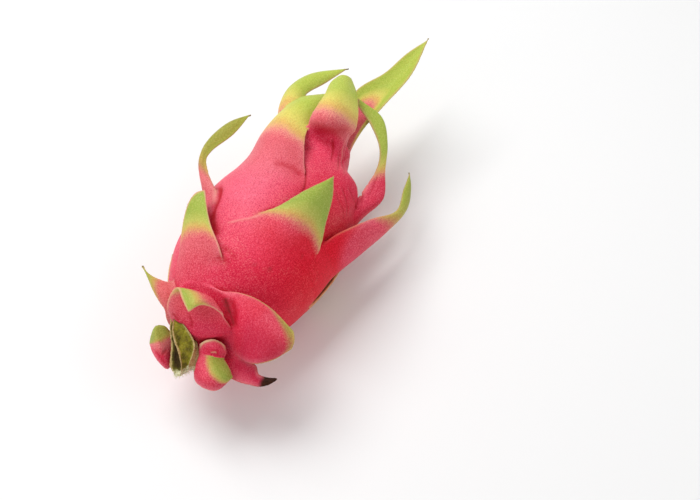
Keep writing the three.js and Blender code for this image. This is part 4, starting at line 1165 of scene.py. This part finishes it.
hem = blend(skin, read(skin, "dull"), paint("eca690"), paint("b9a75c"))
dried = ramp(skin, mottle, [(0.3, "2a120b"), (0.7, "4d2a1a")])
colour = coats(skin, pink, [
    (spread(skin, ripe, 0.0, 0.3), green),
    (times(skin, read(skin, "pale"), spread(skin, margin, 0.15, 0.8, 1.0, 0.0)), hem),
    (read(skin, "rim"), "eb9a92"),
    (read(skin, "cream"), "e6cfa0"),
    (times(skin, read(skin, "scab"), spread(skin, mottle, 0.35, 0.6, 0.4, 1.0)), "8c2f2c"),
    (read(skin, "dry"), dried)])
height = plus(skin, mottle, times(skin, pores, 0.5))
finish_surface(skin, shader, colour, height, 0.35, 0.0002)
shader.inputs["Specular IOR Level"].default_value = 0.1
shader.inputs["Subsurface Weight"].default_value = 0.08
shader.inputs["Subsurface Radius"].default_value = (1.0, 0.3, 0.2)
shader.inputs["Subsurface Scale"].default_value = 0.003
fruit.data.materials.clear()
fruit.data.materials.append(skin)
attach(fruit, "root")
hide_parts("fruit")

# ---- Navel fringe ------------------------------------------------------------------------------------
# What is left of the flower inside the crown's navel: short dry brown fibres, grown on the wall of the
# navel and standing out along the fruit's axis.

FRINGE = dict(Count=170, Length=0.0055, Thickness=0.0004, Spread=0.45, Upright=0.2, Bend=0.002, Seed=9)
rings = skin_points()[0]
lip = int(np.argmax(rings[:, :, 0].mean(1)))
wall = rings[lip + 4:-3, ::4]
chaff = dry_matter("dry_flower", [(0.3, "33200f"), (0.5, "6e4c2a"), (0.7, "a98d5f")])
axis_way = (cos(radians(AXIS_TILT)), 0, sin(radians(AXIS_TILT)))
fringe = bristles("navel_fringe", laid(wall.reshape(-1, 3)), ring_faces(*wall.shape[:2], 0, 0)[0].tolist(),
                  axis_way, FRINGE, chaff)
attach(fringe, "root")

# ---- Floor, light and camera -------------------------------------------------------------------------
# A plain pale floor, one big soft light from above and behind, two weak ones, and a camera
# that looks down on the fruit from the left of its stem end.

FLOOR_REACH = 3.0       # metres, each way from the fruit
floor_mesh = bpy.data.meshes.new("floor")
corners = [(x * FLOOR_REACH, y * FLOOR_REACH, 0) for x, y in ((-1, -1), (1, -1), (1, 1), (-1, 1))]
floor_mesh.from_pydata(corners, [], [(0, 1, 2, 3)])
floor = bpy.data.objects.new("floor", floor_mesh)
bpy.context.scene.collection.objects.link(floor)
paper, shader = new_material("floor_paper", 0.9)
fill(paper, shader.inputs["Base Color"], (0.9, 0.9, 0.9, 1))
floor_mesh.materials.append(paper)

CAMERA_TURN = -60.0             # degrees about the fruit, from straight in front of its side
CAMERA_RISE = 57.0
CAMERA_AWAY = 550.0             # mm, from the fruit's middle
FOCAL_PIXELS = 1022.0
FRAME_SIZE = (700, 500)
FOOT_PIXEL = (189.0, 351.0)     # where the stem end of the axis falls in the frame
SENSOR = 36.0
turn, rise = radians(CAMERA_TURN), radians(CAMERA_RISE)
back = np.array([sin(turn) * cos(rise), -cos(turn) * cos(rise), sin(rise)])
right = np.array([cos(turn), sin(turn), 0])
up = np.cross(back, right)
fruit_foot, fruit_middle = laid([(0, 0, 0), (65, 0, 0)])
eye = fruit_middle + back * CAMERA_AWAY
depth = -(fruit_foot - eye) @ back
offset = (np.array(FOOT_PIXEL) - np.array(FRAME_SIZE) / 2) / FOCAL_PIXELS * depth
eye = eye + right * ((fruit_foot - eye) @ right - offset[0]) + up * ((fruit_foot - eye) @ up + offset[1])

camera = bpy.data.cameras.new("camera")
camera.sensor_width = SENSOR
camera.lens = FOCAL_PIXELS * SENSOR / FRAME_SIZE[0]
camera.clip_start = 0.01
viewer = bpy.data.objects.new("camera", camera)
turned = Matrix(np.stack([right, up, back], 1).tolist()).to_4x4()
viewer.matrix_world = Matrix.Translation(Vector(eye * 0.001)) @ turned
bpy.context.scene.collection.objects.link(viewer)
bpy.context.scene.camera = viewer

# watts, metres across, and where each light stands
LIGHTS = dict(
    window=(9.2, 0.7, (0.08, 0.52, 0.98)),
    fill=(1.9, 0.8, (-1.0, 0.1, 0.45)),
    side=(2.4, 0.8, (0.35, -0.9, 0.75)))
WORLD_LIGHT = 0.43

for name, (power, size, stands) in LIGHTS.items():
    stands = Vector(stands)
    data = bpy.data.lights.new(name, "AREA")
    data.energy = power
    data.size = size
    lamp = bpy.data.objects.new(name, data)
    lamp.matrix_world = Matrix.Translation(stands) @ stands.to_track_quat("Z", "Y").to_matrix().to_4x4()
    bpy.context.scene.collection.objects.link(lamp)

world = bpy.data.worlds.new("studio")
world.use_nodes = True
background = world.node_tree.nodes["Background"]
background.inputs["Color"].default_value = (1, 1, 1, 1)
background.inputs["Strength"].default_value = WORLD_LIGHT
bpy.context.scene.world = world
bpy.context.scene.view_settings.view_transform = "Standard"
